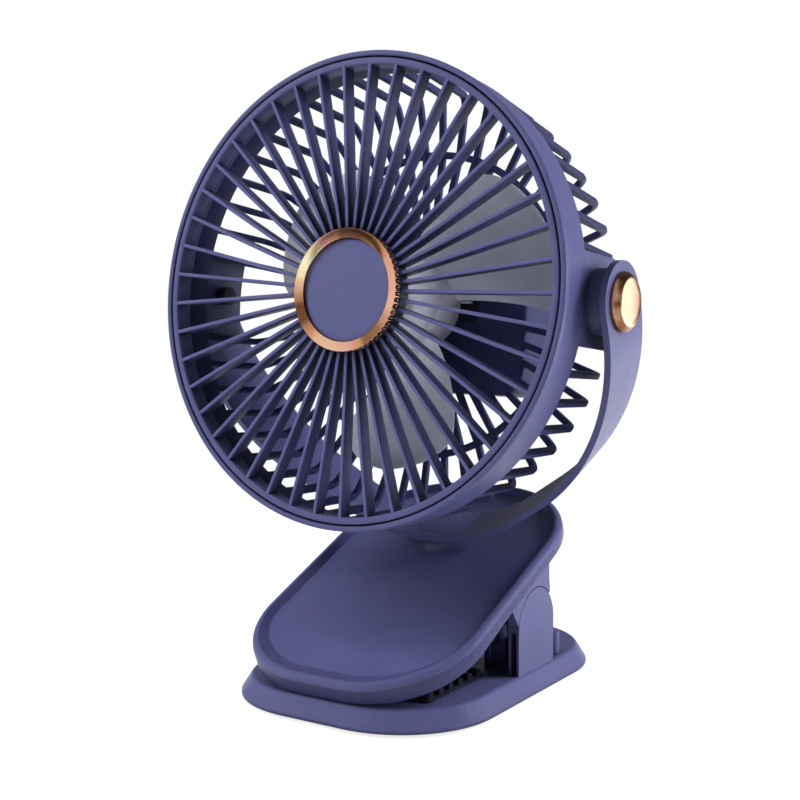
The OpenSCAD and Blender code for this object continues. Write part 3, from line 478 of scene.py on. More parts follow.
def build_base():
    edge = [(6.4, 6.8), (2.8, 2.2), (WALL, FOOT_H), (0.35, FOOT_H), (0.1, 0.92), (0.0, 1.2), (0.0, 2.05), (0.06, 2.2),
            (0.22, 2.42), (2.0, 5.2), (3.7, 7.85), (4.0, 8.3), (4.35, 8.75), (4.8, 9.05), (5.3, 9.18), (5.9, BASE_H)]
    link("base_plate", stack(BASE_W, BASE_L, BASE_R, edge), GROUND, "base", "navy_plastic", ("base_shell",))

    # The ears stand a little into the plate, and each has a slot in its front edge.
    low = BASE_H - 0.6 - PIN_Z
    ears, slots = bmesh.new(), bmesh.new()
    for s in (-1, 1):
        outline = [(EAR_R, low)] + arc(EAR_R, 0, 180, 36) + [(-EAR_R, low)]
        prism(ears, outline, s * (EAR_X - EAR_T), s * EAR_X, "YZ")
        prism(slots, box(-EAR_R - 2, low + 0.6, -EAR_R + 4.5, -1.0), s * 48.8, s * 51.3, "YZ")
    link("base_ears", cut(ears, slots), PIN, "base", "navy_plastic")

    ribs = bmesh.new()
    for s in (-1, 1):
        outline = [(RIB_R, low)] + arc(RIB_R, 0, 180, 30) + [(-RIB_R, low)]
        prism(ribs, outline, s * RIB_X - RIB_T / 2, s * RIB_X + RIB_T / 2, "YZ")
        for y in (-BRACE_Y, BRACE_Y):
            brace = box(y - BRACE_T / 2, low, y + BRACE_T / 2, BRACE_TOP)
            prism(ribs, brace, s * BRACE_X - BRACE_L / 2, s * BRACE_X + BRACE_L / 2, "YZ")
        post = fillet(box(0, low, POST_R, POST_TOP - PIN_Z), [0, 0, 0.7, 0])
        lathe(ribs, post, "Z", 40, at=(s * POST_X, POST_Y, 0))
    soften(link("base_ribs", ribs, PIN, "base", "navy_plastic"), 0.3, 60)


def build_grip():
    """The rubber under the jaw's tip, with its ribs' ends standing clear of the jaw's skirt."""
    (_, y0, z0), (_, y1, z1) = ([c / MM for c in corner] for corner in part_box("lower_grip_pad"))
    quarter = (y1 - y0) / GRIP_N / 4
    grip = prism(bmesh.new(), fillet(box(-GRIP_HW, y0, GRIP_HW, y1), 1.2), z0, z0 + GRIP_T)
    for i in range(GRIP_N):
        y = y0 + (4 * i + 2) * quarter
        rib = [(y - quarter, z0 + 1.0), (y + quarter, z0 + 1.0), (y + quarter - 0.3, z1), (y - quarter + 0.3, z1)]
        prism(grip, fillet(rib, [0, 0, 0.5, 0.5], 3), -GRIP_HW + 0.4, GRIP_HW - 0.4, "YZ")
    soften(link("grip_lower", grip, GROUND, "base", "rubber", ("lower_grip_pad",)), 0.2, 50)


build_base()
build_grip()

# ---------------------------------------------------------------- jaw

# Lower edge of the skirt: (place along the tray, height)
SKIRT = [(-76.0, -7.6), (-70.0, -8.1), (-58.0, -8.4), (-40.0, -7.7), (-15.0, -6.4), (10.0, -6.2), (40.0, -5.6),
         (57.0, -5.4), (76.0, -5.4)]

# (inset, height) across the rim: a roll, a slope falling inwards, a crease and the dish
RIM = [(0.0, -2.2), (0.04, -1.6), (0.18, -1.0), (0.5, -0.38), (0.95, 0.12), (1.45, 0.47), (1.95, 0.7), (2.4, 0.82),
       (2.8, 0.86), (3.1, 0.8), (3.4, 0.58), (3.8, 0.1), (4.2, -0.5), (4.6, -1.08), (4.95, -1.56), (5.2, -1.82),
       (5.35, -1.91), (5.6, -1.95), (6.2, -1.99), (7.6, -2.1), (9.0, -2.2), (12.0, -2.38), (16.0, -2.62),
       (21.0, -2.84), (27.0, -2.96), (33.0, -3.0)]
CREST_IN, SLOPE_RUN, CREASE_Z, DISH_IN = 2.9, 2.5, -1.93, 33.0
# How much wider and higher the slope's foot is at the front, and where along the tray that grows
FRONT_MARGIN, FRONT_LIFT, FRONT_FROM, FRONT_RUN = 3.4, 0.8, -22.0, 48.0


def skirt_z(v):
    """Height of the skirt's lower edge at v along the tray."""
    for (a, low), (b, high) in zip(SKIRT, SKIRT[1:]):
        if v <= b:
            return low + (high - low) * (max(v, a) - a) / (b - a)
    return SKIRT[-1][1]


def rim_row(inset, z):
    """One loop of the rim. The slope is wider and shallower towards the front end."""
    share = blend((inset - CREST_IN) / SLOPE_RUN)
    out = []
    for x, y in rounded_rect(JAW_W, JAW_L, JAW_R, inset):
        front = share * blend((FRONT_FROM - y) / FRONT_RUN)
        out.append((x, y + FRONT_MARGIN * front, z + FRONT_LIFT * front * blend((DISH_IN - inset) / 20.0)))
    return out


def build_tray():
    loops = []
    edge = rounded_rect(JAW_W, JAW_L, JAW_R)
    for inset, lift in ((WALL, None), (WALL, 0.0), (0.45, 0.0), (0.12, 0.12), (0.0, 0.42)):
        heights = [-DISH_D - PLATE_T if lift is None else skirt_z(v) + lift for _, v in edge]
        loops.append([(x, y, z) for (x, y), z in zip(rounded_rect(JAW_W, JAW_L, JAW_R, inset), heights)])
    tray = loft(bmesh.new(), loops + [rim_row(inset, z) for inset, z in RIM])
    tray.transform(TRAY_TURN)
    ears = bmesh.new()
    for s in (-1, 1):
        room = [(0, s * EAR_CUT_X), (EAR_R + LOOSE, s * EAR_CUT_X), (EAR_R + LOOSE, s * 60), (0, s * 60)]
        lathe(ears, room, "X", 128, at=(0, PIN_V, -PIN_DEPTH))
    piece = link("jaw_tray", cut(tray, ears), JAW, "jaw", "navy_plastic", ("upper_jaw",), 32)

    # The slope inside the rim's roll and the skirt below the roll take a darker copy of the navy: painted shade.
    piece.data.materials.append(RIM_NAVY_PAINTED_SHADE)
    home = (JAW @ TRAY_TURN).inverted()
    for face in piece.data.polygons:
        at, normal = home @ (face.center / MM), home.to_3x3() @ face.normal
        inwards = normal.x * at.x + normal.y * at.y < 0
        slope = inwards and CREASE_Z < at.z < 0.8 and 0.3 < normal.z < 0.992
        skirt = not inwards and at.z < -1.6 and abs(normal.z) < 0.5
        face.material_index = int(slope or skirt)

    boss = [(0, -2.0), (19, -2.0), (19, -0.6), (16, -0.15), (13.5, 0.15), (11.6, 0.6), (10.3, 1.3), (9.4, 2.2),
            (8.8, 3.2), (8.5, 4.4), (8.5, 5.4), (8.35, 5.7), (8.0, 5.8), (0, 5.8)]
    link("jaw_boss", lathe(bmesh.new(), boss, "Z"), SWIVEL, "jaw", "navy_plastic")


def build_cheeks():
    """The tray's cheeks, hooked round the fronts of the base's ears."""
    slope = JAW_SLOPE + TRAY_RISE

    def under(y):
        """Height over the pin of the tray's underside at y."""
        return (PIN_DEPTH - 0.1 + y * sin(slope)) / cos(slope)
    front, back, end = -EAR_R - 1.4, EAR_R * 0.72, EAR_R / 2 + 3.5
    outline = [(front - 5, under(front - 5)), (front - 5, under(front - 5) - 2.6), (front + 0.5, 3.2),
               (front + 0.75, 2.7)]
    outline += arc(EAR_R + LOOSE, 171, 44, 40)
    outline += [(back + 0.75, 11.6), (back + 1.0, 12.2), (back + 1.0, 13.0), (back + 0.3, 17.0), (end, under(end))]
    cheeks = bmesh.new()
    for s in (-1, 1):
        prism(cheeks, outline, s * CHEEK_X, s * (EAR_X - 0.02), "YZ")
    link("jaw_cheeks", cheeks, PIN, "jaw", "navy_plastic")


def build_lugs():
    """Round lugs on the pin, webs up to the tray, and heels that meet the base when the clip is fully open."""
    heel = (PIN_Z - BASE_H - SEAT - HEEL_R) / sin(60)
    foot = [(0, -HEEL_R), (heel, -HEEL_R)] + arc(HEEL_R, -75, 75, 10, (heel, 0)) + [(heel, HEEL_R), (0, HEEL_R)]
    web = box(-8, 0, 8, PIN_DEPTH - DISH_D + 1.2)
    outlines = (arc(LUG_R, 0, 352, 44), swung(web, JAW_SLOPE), swung(foot, CLIP_OPEN - 60))
    lugs = bmesh.new()
    for s in (-1, 1):
        for k, outline in enumerate(outlines):
            prism(lugs, outline, s * (LUG_X - LUG_T + 0.02 * k), s * (LUG_X - 0.02 * k), "YZ")
    soften(link("jaw_lugs", lugs, PIN, "jaw", "navy_plastic"), 0.35, 60)


build_tray()
build_cheeks()
build_lugs()

# ---------------------------------------------------------------- clip spring


def on_coil(x, a):
    return (x, COIL_R * cos(a), COIL_R * sin(a))


def build_spring():
    """The coil and its lower leg on the base, and the upper leg that rides on the jaw."""
    foot = (LEG_L - COIL_R, BASE_H + WIRE_R + SEAT - PIN_Z)
    tip = swung([(LEG_L + 4, PIN_DEPTH - DISH_D - PLATE_T - WIRE_R - SEAT)], JAW_SLOPE)[0]
    foot_a = math.degrees(math.atan2(foot[1], foot[0]) - math.acos(COIL_R / math.hypot(*foot)))
    tip_a = math.degrees(math.atan2(tip[1], tip[0]) + math.acos(COIL_R / math.hypot(*tip)))
    wide = COIL_N * COIL_PITCH
    steps = 40 * COIL_N
    coil = [on_coil(wide * (i / steps - 0.5), foot_a - 360 * COIL_N * i / steps) for i in range(steps + 1)]
    wire = tube(bmesh.new(), [(-wide / 2, *foot)] + coil, WIRE_R)
    link("spring_coil", wire, PIN, "base", "steel", ("torsion_spring",), 60)
    x, bend = wide / 2 + COIL_PITCH, foot_a + 360
    leg = [on_coil(x, bend + (tip_a - bend) * i / 12) for i in range(13)] + [(x, *tip)]
    link("spring_upper_leg", tube(bmesh.new(), leg, WIRE_R), PIN, "jaw", "steel", ("spring_leg",), 60)


build_spring()

# ---------------------------------------------------------------- yoke


def yoke_half(z):
    """Half the band's width at height z: a round pad at the axis, then narrower towards the foot."""
    if z > 0:
        return math.sqrt(max(PAD_R * PAD_R - z * z, 0.0))
    waist, waist_z = PAD_R - 0.2, -60
    if z > waist_z:
        return waist + 0.2 * blend(1 - z / waist_z)
    return FOOT_HW + (waist - FOOT_HW) * blend((z + YOKE_DROP) / (waist_z + YOKE_DROP))


def build_yoke():
    side_r, foot_r = YOKE_R * 0.99, YOKE_R * 0.75
    side_at, foot_at = (YOKE_R - side_r, -3.0), (0.0, foot_r - YOKE_DROP)
    step = (side_at[0] - foot_at[0], side_at[1] - foot_at[1])
    run = math.degrees(math.acos((side_r - foot_r) / math.hypot(*step)) - math.atan2(step[0], step[1]))
    middle = YOKE_T / 2
    path = [(YOKE_R - middle, PAD_R * sin(90 - 6 * k)) for k in range(16)] + [(YOKE_R - middle, -1.5)]
    path += arc(side_r - middle, 0, run - 90, 22, side_at)
    path += arc(foot_r - middle, run - 90, -90, 24, foot_at)
    path += [(-x, z) for x, z in path[-2::-1]]
    shape = bmesh.new()
    across = 6
    rows = [[shape.verts.new((x, yoke_half(z) * j / across, z)) for j in range(-across, across + 1)] for x, z in path]
    for a, b in zip(rows, rows[1:]):
        for i in range(2 * across):
            shape.faces.new((a[i], a[i + 1], b[i + 1], b[i]))
    band = link("yoke_band", shape, YOKE, "yoke_body", "navy_plastic", ("yoke",), 60)
    thick = band.modifiers.new("thickness", "SOLIDIFY")
    thick.thickness = YOKE_T * MM
    thick.offset = 0.0
    thick.use_even_offset = True
    baked(band)
    soften(band, 0.55, 50, 3)

    half = FOOT_HW - 0.25
    foot = YOKE @ Matrix.Translation((0, 0, -YOKE_DROP))
    pad = fillet(box(-half, 1.0, half, FOOT_PAD_T), [0, 0, 0.5, 0.5])
    pad = prism(bmesh.new(), pad, -FOOT_PAD_HL, FOOT_PAD_HL, "YZ")
    link("yoke_foot_pad", pad, foot, "yoke_body", "navy_plastic")
    cap = fillet([(0, -0.4), (SWIVEL_CAP_R, -0.4), (SWIVEL_CAP_R, 0.22), (0, 0.3)], [0, 0.1, 0.2, 0])
    cap = lathe(bmesh.new(), cap, "Z", 72, at=(0, 0, FOOT_PAD_T))
    link("yoke_cap", cap, foot, "yoke_body", "navy_plastic", ("swivel_cap",))


def build_trunnions():
    """The rose-gold buttons over the tilt axis's screws, with sides of a darker tone and light blotches: painted
    reflections.
    """
    # (how far in from the rim, height) of the rounded side
    rim = [(0.15, 0.0), (0.0, 0.15), (0.0, 0.8), (0.1, 1.25), (0.35, 1.75), (0.75, 2.2), (1.2, 2.6), (1.65, 2.95),
           (1.95, 3.2), (2.2, 3.34), (2.6, 3.42)]
    outline = [(0, 2.5), (7.9, 2.5), (7.9, 0.0)] + [(CAP_R - r, x) for r, x in rim]
    outline += [(6.5, 3.5), (3.5, 3.56), (0, CAP_H)]
    for s, side in ((1, "right"), (-1, "left")):
        cap = lathe(bmesh.new(), [(r, s * (YOKE_R + x)) for r, x in outline], "X", 128)
        button = link("trunnion_button_" + side, cap, YOKE, "yoke_body", "rose_gold", ("trunnion_cap_" + side,), 30)
        button.data.materials.append(GOLD_SIDE_PAINTED_REFLECTION)
        # The sides take the gold with painted reflections.
        for face in button.data.polygons:
            face.material_index = int(abs(face.normal.x) < 0.86)


build_yoke()
build_trunnions()

# ---------------------------------------------------------------- head shell and grille


def build_shell():
    lip, inner, grille_in = HEAD_R - 2.2, BAND_R - SHELL_T, GRILLE_R - GRILLE_W
    profile = [(lip, -HEAD_FRONT + 0.5), (HEAD_R - 1.8, -HEAD_FRONT), (HEAD_R - 0.2, -HEAD_FRONT),
               (HEAD_R, -HEAD_FRONT + 0.6), (HEAD_R, -HEAD_FRONT + 3.2), (BAND_R, -HEAD_FRONT + 4.0),
               (BAND_R, CAGE_FRONT), (inner, CAGE_FRONT), (inner, LEDGE_Y + 1.6), (grille_in, LEDGE_Y + 1.6),
               (grille_in, LEDGE_Y), (lip, LEDGE_Y)]
    profile = fillet(profile, [0.2, 0.4, 0.7, 0.5, 0.5, 0.6, 0.4, 0.4, 0.3, 0.3, 0.3, 0.1], 3)
    link("head_shell", lathe(bmesh.new(), profile, "Y", 256), HEAD, "head", "navy_plastic", ("front_shell",), 35)

    tabs = bmesh.new()
    half = math.degrees(math.asin(TAB_H / 2 / BAND_R))
    for side in (0, 180):
        lathe(tabs, box(inner, CAGE_FRONT - 1, BAND_R, TAB_BACK), "Y", 256, (side - half, side + half))
    soften(link("head_tabs", tabs, HEAD, "head", "navy_plastic"), 0.35, 60)

    bosses = bmesh.new()
    outline = fillet([(0, BOSS_IN_X), (BOSS_R, BOSS_IN_X), (BOSS_R, BOSS_X), (BOSS_R - 1.6, BOSS_X),
                      (BOSS_R - 2.0, BOSS_X - 0.6), (0, BOSS_X - 0.6)], [0, 0, 0.6, 0.1, 0.1, 0], 3)
    for s in (-1, 1):
        lathe(bosses, [(r, s * x) for r, x in outline], "X")
    link("head_bosses", bosses, HEAD, "head", "navy_plastic", (), 35)


def build_grille():
    ring_in, badge_in = GRILLE_R - GRILLE_W, BADGE_R - 2.4
    ring = fillet(box(ring_in, -HEAD_FRONT + 0.2, GRILLE_R, LEDGE_Y), [0.7, 0.7, 0.2, 0.3])
    rings = lathe(bmesh.new(), ring, "Y", 256)
    hub = [(0, -HEAD_FRONT), (BADGE_R, -HEAD_FRONT), (BADGE_R, LEDGE_Y), (badge_in, LEDGE_Y),
           (badge_in, -HEAD_FRONT + 2.4), (0, -HEAD_FRONT + 2.4)]
    lathe(rings, fillet(hub, [0, 0.5, 0.4, 0.3, 0.4, 0], 3), "Y", 128)
    link("grille_rings", rings, HEAD, "head", "navy_plastic", ("front_grille",), 35)

    fins = bmesh.new()
    front, back, thin = -HEAD_FRONT + 0.3, LEDGE_Y - 0.4, FIN_T / 2 - 0.12
    outline = fillet([(-FIN_T / 2, front), (FIN_T / 2, front), (thin, back), (-thin, back)], 0.2, 2)
    for i in range(FIN_N):
        a = 360 * i / FIN_N
        loft(fins, [[(r * cos(a) - z * sin(a), y, r * sin(a) + z * cos(a)) for z, y in outline]
                    for r in (BADGE_R - 1, ring_in + 0.6)])
    # The fins take the navy copy with deeper painted shade.
    link("grille_fins", fins, HEAD, "head", "navy_plastic", (), 50, FIN_NAVY_PAINTED_SHADE)


def build_badge():
    def knurl(a, r, y):
        on_side = r >= RING_OUT - 0.1 and -2.55 <= y <= -0.25
        return -KNURL_D * (0.5 - 0.5 * cos(a * KNURL_N)) ** 2 if on_side else 0.0
    profile = fillet([(RING_IN, 0.0), (RING_OUT - 0.2, 0.0), (RING_OUT, -0.3), (RING_OUT, -1.4), (RING_OUT, -2.5),
                      (RING_OUT - 0.35, -2.9), (RING_OUT - 0.7, -2.85), (RING_IN + 0.15, -2.1), (RING_IN, -2.0)],
                     [0.1, 0.05, 0.05, 0, 0.1, 0.15, 0.15, 0.1, 0.05], 3)
    at = (0, -HEAD_FRONT, 0)
    ring = lathe(bmesh.new(), profile, "Y", 12 * KNURL_N, wave=knurl, at=at)
    # The ring takes the gold with painted reflections.
    link("badge_ring", ring, HEAD, "head", "rose_gold", ("badge_bezel",), 30, SPUN_PAINTED_REFLECTION)
    edge = RING_IN - 0.03
    face = [(0, -0.02), (edge, -0.02), (edge, -0.5), (edge - 0.22, -0.62), (edge - 1.47, -0.64), (10, -0.62), (0, -0.6)]
    plate = lathe(bmesh.new(), face, "Y", 128, at=at)
    link("badge_face", plate, HEAD, "head", "navy_plastic", ("badge_plate",), 35, PLATE)


build_shell()
build_grille()
build_badge()

# ---------------------------------------------------------------- rear cage and battery case


def case_reach(a, inset):
    """Distance from the axis to the case's outline in direction a, found by halving."""
    hw, hh, r = CASE_W / 2 - inset, CASE_H / 2 - inset, CASE_R - inset
    c, s = abs(cos(a)), abs(sin(a))
    low, high = 0.0, 200.0
    for _ in range(40):
        d = (low + high) / 2
        qx, qy = d * c - (hw - r), d * s - (hh - r)
        outside = math.hypot(max(qx, 0), max(qy, 0)) + min(max(qx, qy), 0) - r
        low, high = (d, high) if outside < 0 else (low, d)
    return low


def shrunk(outline, draw):
    """A closed outline drawn in by draw at each point."""
    out = []
    for k, p in enumerate(outline):
        along = (Vector(outline[(k + 1) % len(outline)]) - Vector(outline[k - 1])).normalized()
        out.append((p[0] - along.y * draw, p[1] + along.x * draw))
    return out


def build_cage():
    corner_x = CAGE_CORNER - CORNER_R
    rise = (corner_x + CORNER_R * sin(DOME) - REAR_RING_R) * math.tan(math.radians(DOME))
    corner_y = CAGE_BACK - rise - CORNER_R * cos(DOME)
    outer, inner = (arc(r, 0, 90 - DOME, 8, (corner_x, corner_y)) for r in (CORNER_R, CORNER_R - 3))
    # Bars run back from the shell, over a domed corner and in to the case. None stands behind a side tab's middle.
    tab_gap, lean = 8, 1.0
    across = ((-1.0, 0.35), (-0.8, 0.1), (-0.55, 0.0), (0.55, 0.0), (0.8, 0.1), (1.0, 0.35))
    bars = bmesh.new()
    for i in range(BAR_N):
        a = (i + 0.5) * 360 / BAR_N
        if abs((a + 90) % 180 - 90) < tab_gap:
            continue
        turn = a - lean
        reach = case_reach(turn, 0.8)
        outline = [(CAGE_OUT - CAGE_T, CAGE_FRONT + 0.2), (CAGE_OUT, CAGE_FRONT + 0.2)] + outer
        outline += [(REAR_RING_R, CAGE_BACK), (reach, CAGE_BACK), (reach, FACE_Y), (REAR_RING_R, FACE_Y)] + inner[::-1]
        loops = []
        for half, draw in across:
            h = half * BAR_W / 2
            loops.append([(r * cos(turn) + h * sin(turn), y, -r * sin(turn) + h * cos(turn))
                          for r, y in shrunk(outline, draw)])
        loft(bars, loops)
    link("cage_bars", bars, HEAD, "head", "dark_navy_plastic", ("rear_cage",), 50)

    rear = box(REAR_RING_R - 1.5, FACE_Y + 0.3, REAR_RING_R + 1.5, CAGE_BACK - 0.3)
    front = box(CAGE_OUT - CAGE_T, LEDGE_Y + 1.6, BAND_R - SHELL_T - 0.3, CAGE_FRONT + 2)
    rings = lathe(bmesh.new(), fillet(rear, 0.7), "Y", 192)
    lathe(rings, fillet(front, 0.3, 2), "Y", 192)
    link("cage_rings", rings, HEAD, "head", "dark_navy_plastic")


# Steps of the case's corners and sides
CASE_STEPS = {"corner": 14, "long": 6, "short": 6}


def build_case():
    rows = [(CASE_T, CAGE_BACK), (CASE_T, COVER_Y - 0.3), (CASE_T + 0.1, COVER_Y), (0.35, COVER_Y),
            (0.1, COVER_Y - 0.1), (0.0, COVER_Y - 0.35), (0.0, WALL_Y + 1.6), (0.12, WALL_Y + 0.98),
            (0.47, WALL_Y + 0.47), (0.98, WALL_Y + 0.12), (1.6, WALL_Y)]
    inlet = fillet(box(-4.9, USB_Y - 1.9, 4.9, USB_Y + 1.9), 1.85, 6)
    inlet = prism(bmesh.new(), inlet, -CASE_H / 2 - 2, -CASE_H / 2 + 3)
    case = cut(stack(CASE_W, CASE_H, CASE_R, rows, "XZ", **CASE_STEPS), inlet)
    link("cage_case", case, HEAD, "head", "dark_navy_plastic", (), 35)


def build_cover():
    back = COVER_Y + COVER_T
    rows = [(0.0, COVER_Y + 0.08), (0.0, COVER_Y + 1.0), (0.1, COVER_Y + 1.45), (0.38, COVER_Y + 1.84),
            (0.8, COVER_Y + 2.1), (1.4, back)]
    cover = stack(CASE_W, CASE_H, CASE_R, rows, "XZ", **CASE_STEPS)
    at, hole = (0, 0, BUTTON_Z), BUTTON_R + LOOSE
    well = [(0, back - 1.2), (2.8, back - 1.2), (2.8, back - 0.3), (3.1, back + 0.05), (3.1, back + 2), (0, back + 2)]
    holes = [lathe(bmesh.new(), [(0, COVER_Y - 3), (hole, COVER_Y - 3), (hole, back - 0.5), (hole + 0.6, back + 0.1),
                                 (hole + 0.6, back + 2), (0, back + 2)], at=at),
             prism(bmesh.new(), fillet(box(-9, LENS_Z - 2, 9, LENS_Z + 2), 1.85, 6), COVER_Y - 3, back + 2, "XZ")]
    holes += [lathe(bmesh.new(), well, "Y", 48, at=(x * (CASE_W / 2 - 6), 0, z * (CASE_H / 2 - 6)))
              for x in (-1, 1) for z in (-1, 1)]
    # a shallow ring groove round the button
    groove = [(10.4, back - 0.35), (11.2, back - 0.35), (11.5, back + 0.5), (10.1, back + 0.5)]
    holes.append(lathe(bmesh.new(), groove, at=at))
    link("case_cover", cut(cover, *holes), HEAD, "head", "dark_navy_plastic", ("rear_cover",), 30)

    front, tip = COVER_Y - 1, back + 0.9
    knob = [(0, front), (BUTTON_R + 1.6, front), (BUTTON_R + 1.6, front + 0.8), (BUTTON_R, front + 0.8),
            (BUTTON_R, tip - 0.9), (BUTTON_R - 0.15, tip - 0.4), (BUTTON_R - 0.5, tip - 0.1), (BUTTON_R - 1.0, tip),
            (BUTTON_R - 1.5, tip - 0.1), (3.0, tip - 0.45), (0, tip - 0.55)]
    link("power_knob", lathe(bmesh.new(), knob, at=at), HEAD, "button", "rose_gold", ("power_button",), 30)


build_cage()
build_case()
build_cover()

# ---------------------------------------------------------------- rotor


def leading(f):
    """Angle of the blade's one edge at f of the way out to its tip."""
    return 80 - 28 * f - 26 * (max(f - 0.78, 0) / 0.22) ** 2.6


def trailing(f):
    return 80 - BLADE_SPAN - 8 * f + 9 * (max(f - 0.8, 0) / 0.2) ** 2.6


def blade_at(r, s):
    """The blade's middle surface at radius r and s of the way across."""
    f = max((r - HUB_R) / (ROTOR_R - HUB_R), 0)
    a = trailing(f) + s * (leading(f) - trailing(f))
    y = HUB_BACK - 2.2 - (HUB_BACK - HUB_FRONT - 4) * (s + 0.16 * math.sin(math.pi * s)) * (1 - 0.12 * f)
    return Vector((r * cos(a), y, r * sin(a)))


def blade_pair(r, s, from_tip):
    """The two surface points at r and s; the blade is thinner towards its edges and tip."""
    r_out, s_out = min(r + 0.3, ROTOR_R), min(s + 0.01, 1)
    outwards = blade_at(r_out, s) - blade_at(r_out - 0.3, s)
    across = blade_at(r, s_out) - blade_at(r, s_out - 0.01)
    edge, tip = min(1.0, min(s, 1 - s) * 9), min(1.0, from_tip * 10)
    offset = outwards.cross(across).normalized() * BLADE_T / 2 * (0.35 + 0.65 * edge) * (0.4 + 0.6 * tip)
    return blade_at(r, s) + offset, blade_at(r, s) - offset


def build_rotor():
    bore, inner = SHAFT_R + 0.05, HUB_R - HUB_T
    hub = [(bore, 0.2), (6, 0.05), (HUB_R - 5, 0), (HUB_R - 2.6, 0.3), (HUB_R - 1.1, 1.2), (HUB_R - 0.3, 2.6),
           (HUB_R, 4.4), (HUB_R, HUB_BACK - HUB_FRONT - 0.4), (HUB_R - 0.4, HUB_BACK - HUB_FRONT),
           (inner, HUB_BACK - HUB_FRONT), (inner, 5), (inner - 2, 2.6), (bore, 2.3)]
    shape = lathe(bmesh.new(), hub, "Y", 128, at=(0, HUB_FRONT, 0))
    rows, cols, root = 30, 26, HUB_R - 0.8
    for k in range(BLADE_N):
        around = turned(360 / BLADE_N * k, "Y")
        grid = []
        for i in range(rows + 1):
            r = root + (ROTOR_R - root) * (1 - (1 - i / rows) ** 1.25)
            grid.append([blade_pair(r, j / cols, 1 - i / rows) for j in range(cols + 1)])
        top, low = ([[shape.verts.new(around @ pair[side]) for pair in row] for row in grid] for side in (0, 1))
        for i in range(rows):
            for j in range(cols):
                shape.faces.new((top[i][j], top[i][j + 1], top[i + 1][j + 1], top[i + 1][j]))
                shape.faces.new((low[i][j], low[i + 1][j], low[i + 1][j + 1], low[i][j + 1]))
            for j in (0, cols):
                shape.faces.new((top[i][j], top[i + 1][j], low[i + 1][j], low[i][j]))
        for i in (0, rows):
            for j in range(cols):
                shape.faces.new((top[i][j], top[i][j + 1], low[i][j + 1], low[i][j]))
    link("fan_rotor", shape, HEAD, "rotor_body", "rotor_grey", ("rotor",), 45)


build_rotor()

# ---------------------------------------------------------------- carried-over CAD nodes

# Those with moulded edges in view get them rounded.
for name in ("upper_grip_pad", "indicator_lens", "rubber_feet", "hinge_pin", "usb_socket"):
    node = frame["nodes"][name]
    weld = node.modifiers.new("weld", "WELD")
    weld.merge_threshold = WELD * MM
    soften(node, 0.3, 40)
for node in frame["nodes"].values():
    node.data.shade_smooth()
    node.data.set_sharp_from_angle(angle=math.radians(30))

# ---------------------------------------------------------------- studio, in metres

WHITE = (1, 1, 1, 1)
FLOOR_HALF, FLOOR_T, FLOOR_GAP = 6.0, 0.01, 0.0004
# name, place, aim, size, watts, and whether glossy surfaces mirror it
LAMPS = [
    ("key_right", (0.85, 0.72, 0.58), (0, 0, 0.14), (0.6, 0.7), 23.0, False),
    ("fill_front", (-0.95, -0.85, 0.95), (0, 0, 0.12), (0.8, 0.7), 16.5, False),
    ("back_right", (0.76, 0.97, 0.14), (0.105, -0.01, 0.155), (0.52, 0.52), 1.5, True),
    ("top_left", (-0.5, -0.38, 1.0), (-0.03, -0.04, 0.035), (0.35, 0.35), 5.0, False),
]
CAMERA_AIM, CAMERA_AWAY = (-0.00232, -0.01273, 0.12177), 0.58396
CAMERA_TURN, CAMERA_RISE, CAMERA_LENS = 33.10, 5.50, 62.06


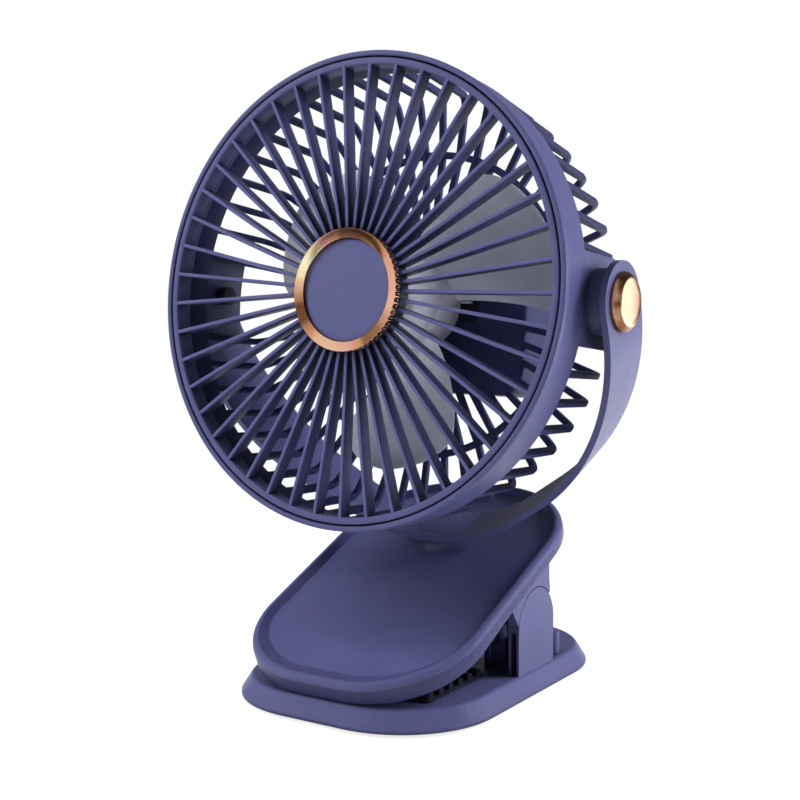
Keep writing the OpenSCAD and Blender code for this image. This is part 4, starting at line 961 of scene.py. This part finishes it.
def build_floor():
    """Pale paper that takes the object's shadow near by and is white further out, as the camera sees it."""
    square = box(-FLOOR_HALF, -FLOOR_HALF, FLOOR_HALF, FLOOR_HALF)
    floor = scene_object("floor", prism(bmesh.new(), square, -FLOOR_GAP, -FLOOR_GAP - FLOOR_T))
    n = Nodes(bpy.data.materials.new("floor_paper"))
    place = n.add("ShaderNodeTexCoord").outputs["Object"]
    paper = n.mix(n.spread(n.noise(place, 40.0), 0.0, 1.0), linear("e9e9ea"), linear("e4e4e6"))
    plain = n.add("ShaderNodeBsdfDiffuse", {"Color": paper})
    pale = n.add("ShaderNodeBsdfDiffuse", {"Color": (0.3, 0.3, 0.3, 1.0)})
    glow = n.add("ShaderNodeEmission", {"Color": WHITE, "Strength": 0.8})
    seen = n.add("ShaderNodeAddShader", {0: pale.outputs[0], 1: glow.outputs[0]})
    white = n.add("ShaderNodeEmission", {"Color": WHITE, "Strength": 1.0})
    reach = n.add("ShaderNodeVectorMath", {0: place}, operation="LENGTH").outputs["Value"]
    path = n.add("ShaderNodeLightPath").outputs
    near = n.either(n.spread(reach, 0.0, 1.0, 0.25, 0.7), seen, white)
    floor.data.materials.append(n.finish(n.either(path["Is Camera Ray"], plain, near)))


def build_world():
    """White to the camera and dim as light. What glossy surfaces mirror is darker behind and above."""
    world = bpy.data.worlds.new("studio")
    bpy.context.scene.world = world
    n = Nodes(world, "ShaderNodeOutputWorld")
    towards = n.add("ShaderNodeSeparateXYZ", {0: n.add("ShaderNodeTexCoord").outputs["Generated"]}).outputs
    behind, above = n.spread(towards["Y"], 1.0, 0.18, -0.5, 0.25), n.spread(towards["Z"], 1.0, 0.8, 0.15, 0.55)
    level = n.math("MULTIPLY", behind, above)
    ambient = n.add("ShaderNodeBackground", {"Color": WHITE, "Strength": 0.09})
    shiny = n.add("ShaderNodeBackground", {"Color": WHITE, "Strength": level})
    white = n.add("ShaderNodeBackground", {"Color": WHITE})
    path = n.add("ShaderNodeLightPath").outputs
    direct = n.math("MAXIMUM", path["Is Camera Ray"], path["Is Transmission Ray"])
    n.finish(n.either(direct, n.either(path["Is Glossy Ray"], ambient, shiny), white))


def build_lamps():
    for name, at, aim, size, watts, mirrored in LAMPS:
        light = bpy.data.lights.new(name, "AREA")
        light.shape = "RECTANGLE"
        light.size, light.size_y = size
        light.energy = watts
        lamp = bpy.data.objects.new(name, light)
        lamp.location = at
        lamp.rotation_euler = (Vector(aim) - Vector(at)).to_track_quat("-Z", "Y").to_euler()
        lamp.visible_glossy = mirrored
        bpy.context.scene.collection.objects.link(lamp)


def build_camera():
    camera = bpy.data.cameras.new("camera")
    camera.lens = CAMERA_LENS
    camera.sensor_width = 36.0
    camera.clip_start = 0.01
    view = bpy.data.objects.new("camera", camera)
    back = Vector((sin(CAMERA_TURN) * cos(CAMERA_RISE), -cos(CAMERA_TURN) * cos(CAMERA_RISE), sin(CAMERA_RISE)))
    view.location = Vector(CAMERA_AIM) + back * CAMERA_AWAY
    view.rotation_euler = back.to_track_quat("Z", "Y").to_euler()
    bpy.context.scene.collection.objects.link(view)
    bpy.context.scene.camera = view


build_floor()
build_world()
build_lamps()
build_camera()
bpy.context.scene.view_settings.view_transform = "Standard"
